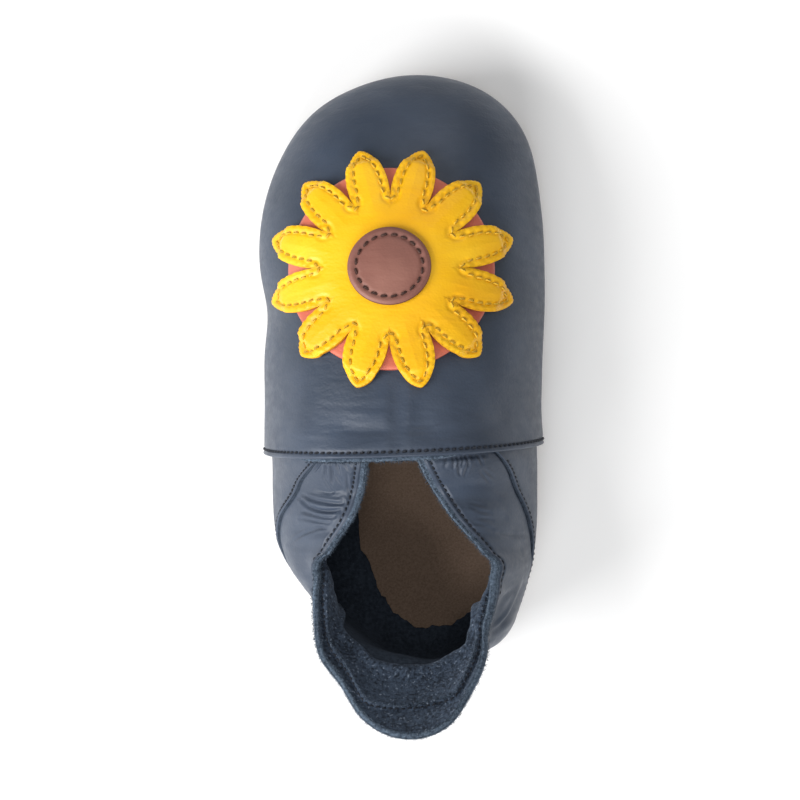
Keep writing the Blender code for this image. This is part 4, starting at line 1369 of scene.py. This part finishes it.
petal_angle = full_turn(PETAL_COUNT * PETAL_POINTS)
petal_phase = (petal_angle * PETAL_COUNT / (2 * math.pi)) % 1.0
petal_lobe = np.maximum(1 - np.abs(2 * petal_phase - 1) ** PETAL_TIP_POWER, 0.0) ** PETAL_SIDE_POWER
petal_edge = PETAL_VALLEY + (PETAL_TIP - PETAL_VALLEY) * petal_lobe
petal_rim = polar_flat(petal_edge, petal_angle)


def petal_base(radius):
    """The petals lie on the backing and come down to the vamp past its edge."""
    return GAP + (LEATHER + GAP) * (1 - smooth_step(DRAPE_START, DRAPE_END, radius))


def rim_distance(flat):
    """How far flat points lie from the petals' cut edge."""
    gaps = np.linalg.norm(flat.reshape(-1, 1, 2) - petal_rim[::3], axis=-1)
    return gaps.min(axis=1).reshape(flat.shape[:-1])


def petal_relief(flat):
    """Rounded at the cut edge, drawn in along the stitches and a little full between them."""
    distance = rim_distance(flat)
    pressed = soft_line(distance, PETAL_EDGE) + soft_line(distance - PETAL_STITCH_IN, PETAL_GROOVE)
    return PETAL_FULLNESS * smooth_step(2.4, 5.0, distance) - pressed


# Yellow nappa, grain side up: the glossiest of the dyes, warm and even, with an ochre cut edge
yellow_nappa = smooth_leather("yellow_nappa", "#F2B000", "#F9BC08", "#FFC91E", roughness=0.42)
yellow_cut = suede("yellow_cut_edge", "#C98A10", "#DDA01A", "#EDB63A", nap_mm=0.3, bump_mm=0.05)
leather_round(
    "flower_petals_yellow",
    petal_edge,
    petal_angle,
    PETAL_ROWS,
    petal_base,
    petal_relief,
    [yellow_nappa, yellow_cut],
    "flower_petals",
)
# Polyester thread in the petals' yellow, lighter on its arches than the leather
yellow_thread = thread("yellow_thread", "#DB9F12", "#FFD23C")
rim_way = unit(np.roll(petal_rim, -1, axis=0) - np.roll(petal_rim, 1, axis=0))
petal_seam = petal_rim + PETAL_STITCH_IN * np.stack([-rim_way[:, 1], rim_way[:, 0]], axis=-1)
petal_seam = petal_seam[rim_distance(petal_seam) > PETAL_STITCH_IN - 0.12]
petal_seam = np.concatenate([petal_seam, petal_seam[:1]])
petal_lift = petal_base(np.linalg.norm(petal_seam, axis=-1)) + LEATHER - 0.22
petal_row = on_vamp(petal_seam, petal_lift)
stitch_row("petal_stitches", *petal_row, yellow_thread, "yellow_leather", PETAL_PITCH, PETAL_THREAD)

# Flower centre
# A round of brown leather on the petals, sewn with a ring of brown thread.

CENTRE_RADIUS = 8.0
CENTRE_STITCH_IN = 1.6
CENTRE_POINTS, CENTRE_ROWS = 160, 30
CENTRE_EDGE = (0.3, 0.4)
CENTRE_CUSHION = 0.3
RING_POINTS = 200
centre_base = GAP + 2 * (LEATHER + GAP)


def centre_relief(flat):
    """A low cushion, rounded at the cut edge and drawn in along its ring of stitches."""
    distance = CENTRE_RADIUS - np.linalg.norm(flat, axis=-1)
    pressed = soft_line(distance, CENTRE_EDGE) + soft_line(distance - CENTRE_STITCH_IN, PETAL_GROOVE)
    return CENTRE_CUSHION * smooth_step(2.0, 7.0, distance) - pressed


# Brown nappa, grain side up: a dull satin, with a darker cut edge
brown_nappa = smooth_leather("brown_nappa", "#7C5147", "#88594E", "#98685B", roughness=0.5)
brown_cut = suede("brown_cut_edge", "#5B382F", "#6B463C", "#80584C", nap_mm=0.3, bump_mm=0.05)
leather_round(
    "flower_centre_brown",
    np.full(CENTRE_POINTS, CENTRE_RADIUS),
    full_turn(CENTRE_POINTS),
    CENTRE_ROWS,
    lambda radius: np.full(np.shape(radius), centre_base),
    centre_relief,
    [brown_nappa, brown_cut],
    "flower_centre",
)
# Polyester thread, darker than the brown leather, so that the ring reads as a row of short dashes
brown_thread = thread("brown_thread", "#3F251E", "#5E3B31")
ring_angle = np.linspace(0.0, 2 * math.pi, RING_POINTS)
ring_flat = polar_flat(np.full(RING_POINTS, CENTRE_RADIUS - CENTRE_STITCH_IN), ring_angle)
ring_row = on_vamp(ring_flat, np.full(RING_POINTS, centre_base + LEATHER - 0.2))
stitch_row("centre_stitches", *ring_row, brown_thread, "brown_leather", PETAL_PITCH, PETAL_THREAD)

# Studio
# A pale seamless floor, a broad soft key from the heel's outer side, weaker lights from the heel, the toe,
# the inner side and overhead, and a camera that looks down from a little to the shoe's inner side.

FLOOR_HALF = 3.0
SOFT_BOXES = (
    # name, place, aim, side of the square, power
    ("key", (-0.95, -0.35, 0.75), (0.0, 0.0, 0.02), 0.8, 17.4),
    ("heel", (-0.10, -1.00, 0.75), (0.0, 0.0, 0.02), 0.7, 9.3),
    ("fill", (1.00, 0.10, 0.70), (0.0, 0.0, 0.02), 0.8, 1.0),
    ("toe", (0.20, 1.00, 0.80), (0.0, 0.0, 0.02), 0.7, 2.6),
    ("overhead", (0.05, -0.05, 1.60), (0.0, 0.0, 0.0), 0.5, 3.0),
)
floor_corners = [(x * FLOOR_HALF, y * FLOOR_HALF, 0.0) for x, y in ((-1, -1), (1, -1), (1, 1), (-1, 1))]
floor_mesh = bpy.data.meshes.new("floor")
floor_mesh.from_pydata(floor_corners, [], [(0, 1, 2, 3)])
# Matt white paper sweep: near white and even, with a little light of its own to keep it pale
floor_paper = bpy.data.materials.new("pale_floor")
floor_paper.use_nodes = True
floor_finish = {
    "Base Color": linear("#F4F4F4"),
    "Roughness": 0.9,
    "Emission Color": linear("#FFFFFF"),
    "Emission Strength": 0.12,
}
wire(floor_paper, floor_paper.node_tree.nodes["Principled BSDF"], floor_finish)
floor_mesh.materials.append(floor_paper)
floor = bpy.data.objects.new("floor", floor_mesh)
bpy.context.scene.collection.objects.link(floor)

for name, place, aim, side, power in SOFT_BOXES:
    light = bpy.data.lights.new(name, "AREA")
    light.size = side
    light.energy = power
    soft_box = bpy.data.objects.new(name, light)
    soft_box.location = place
    soft_box.rotation_euler = (Vector(aim) - Vector(place)).to_track_quat("-Z", "Y").to_euler()
    bpy.context.scene.collection.objects.link(soft_box)
world = bpy.data.worlds.new("studio")
world.use_nodes = True
world.node_tree.nodes["Background"].inputs["Color"].default_value = linear("#FFFFFF")
world.node_tree.nodes["Background"].inputs["Strength"].default_value = 0.17
bpy.context.scene.world = world
bpy.context.scene.view_settings.view_transform = "Standard"

camera_data = bpy.data.cameras.new("camera")
camera_data.lens = 200.0
camera_data.sensor_width = 36.0
camera = bpy.data.objects.new("camera", camera_data)
camera.location = (np.array([CAMERA_X, 0.0, CAMERA_HEIGHT]) + shift * (1, 1, 0)) * MM
camera_aim = Vector((0.0, 0.0, 0.02))
camera_back = (camera.location - camera_aim).normalized()
camera_right = Vector((0.0, 1.0, 0.0)).cross(camera_back).normalized()
camera_up = camera_back.cross(camera_right)
camera.rotation_euler = Matrix((camera_right, camera_up, camera_back)).transposed().to_euler()
bpy.context.scene.collection.objects.link(camera)
bpy.context.scene.camera = camera
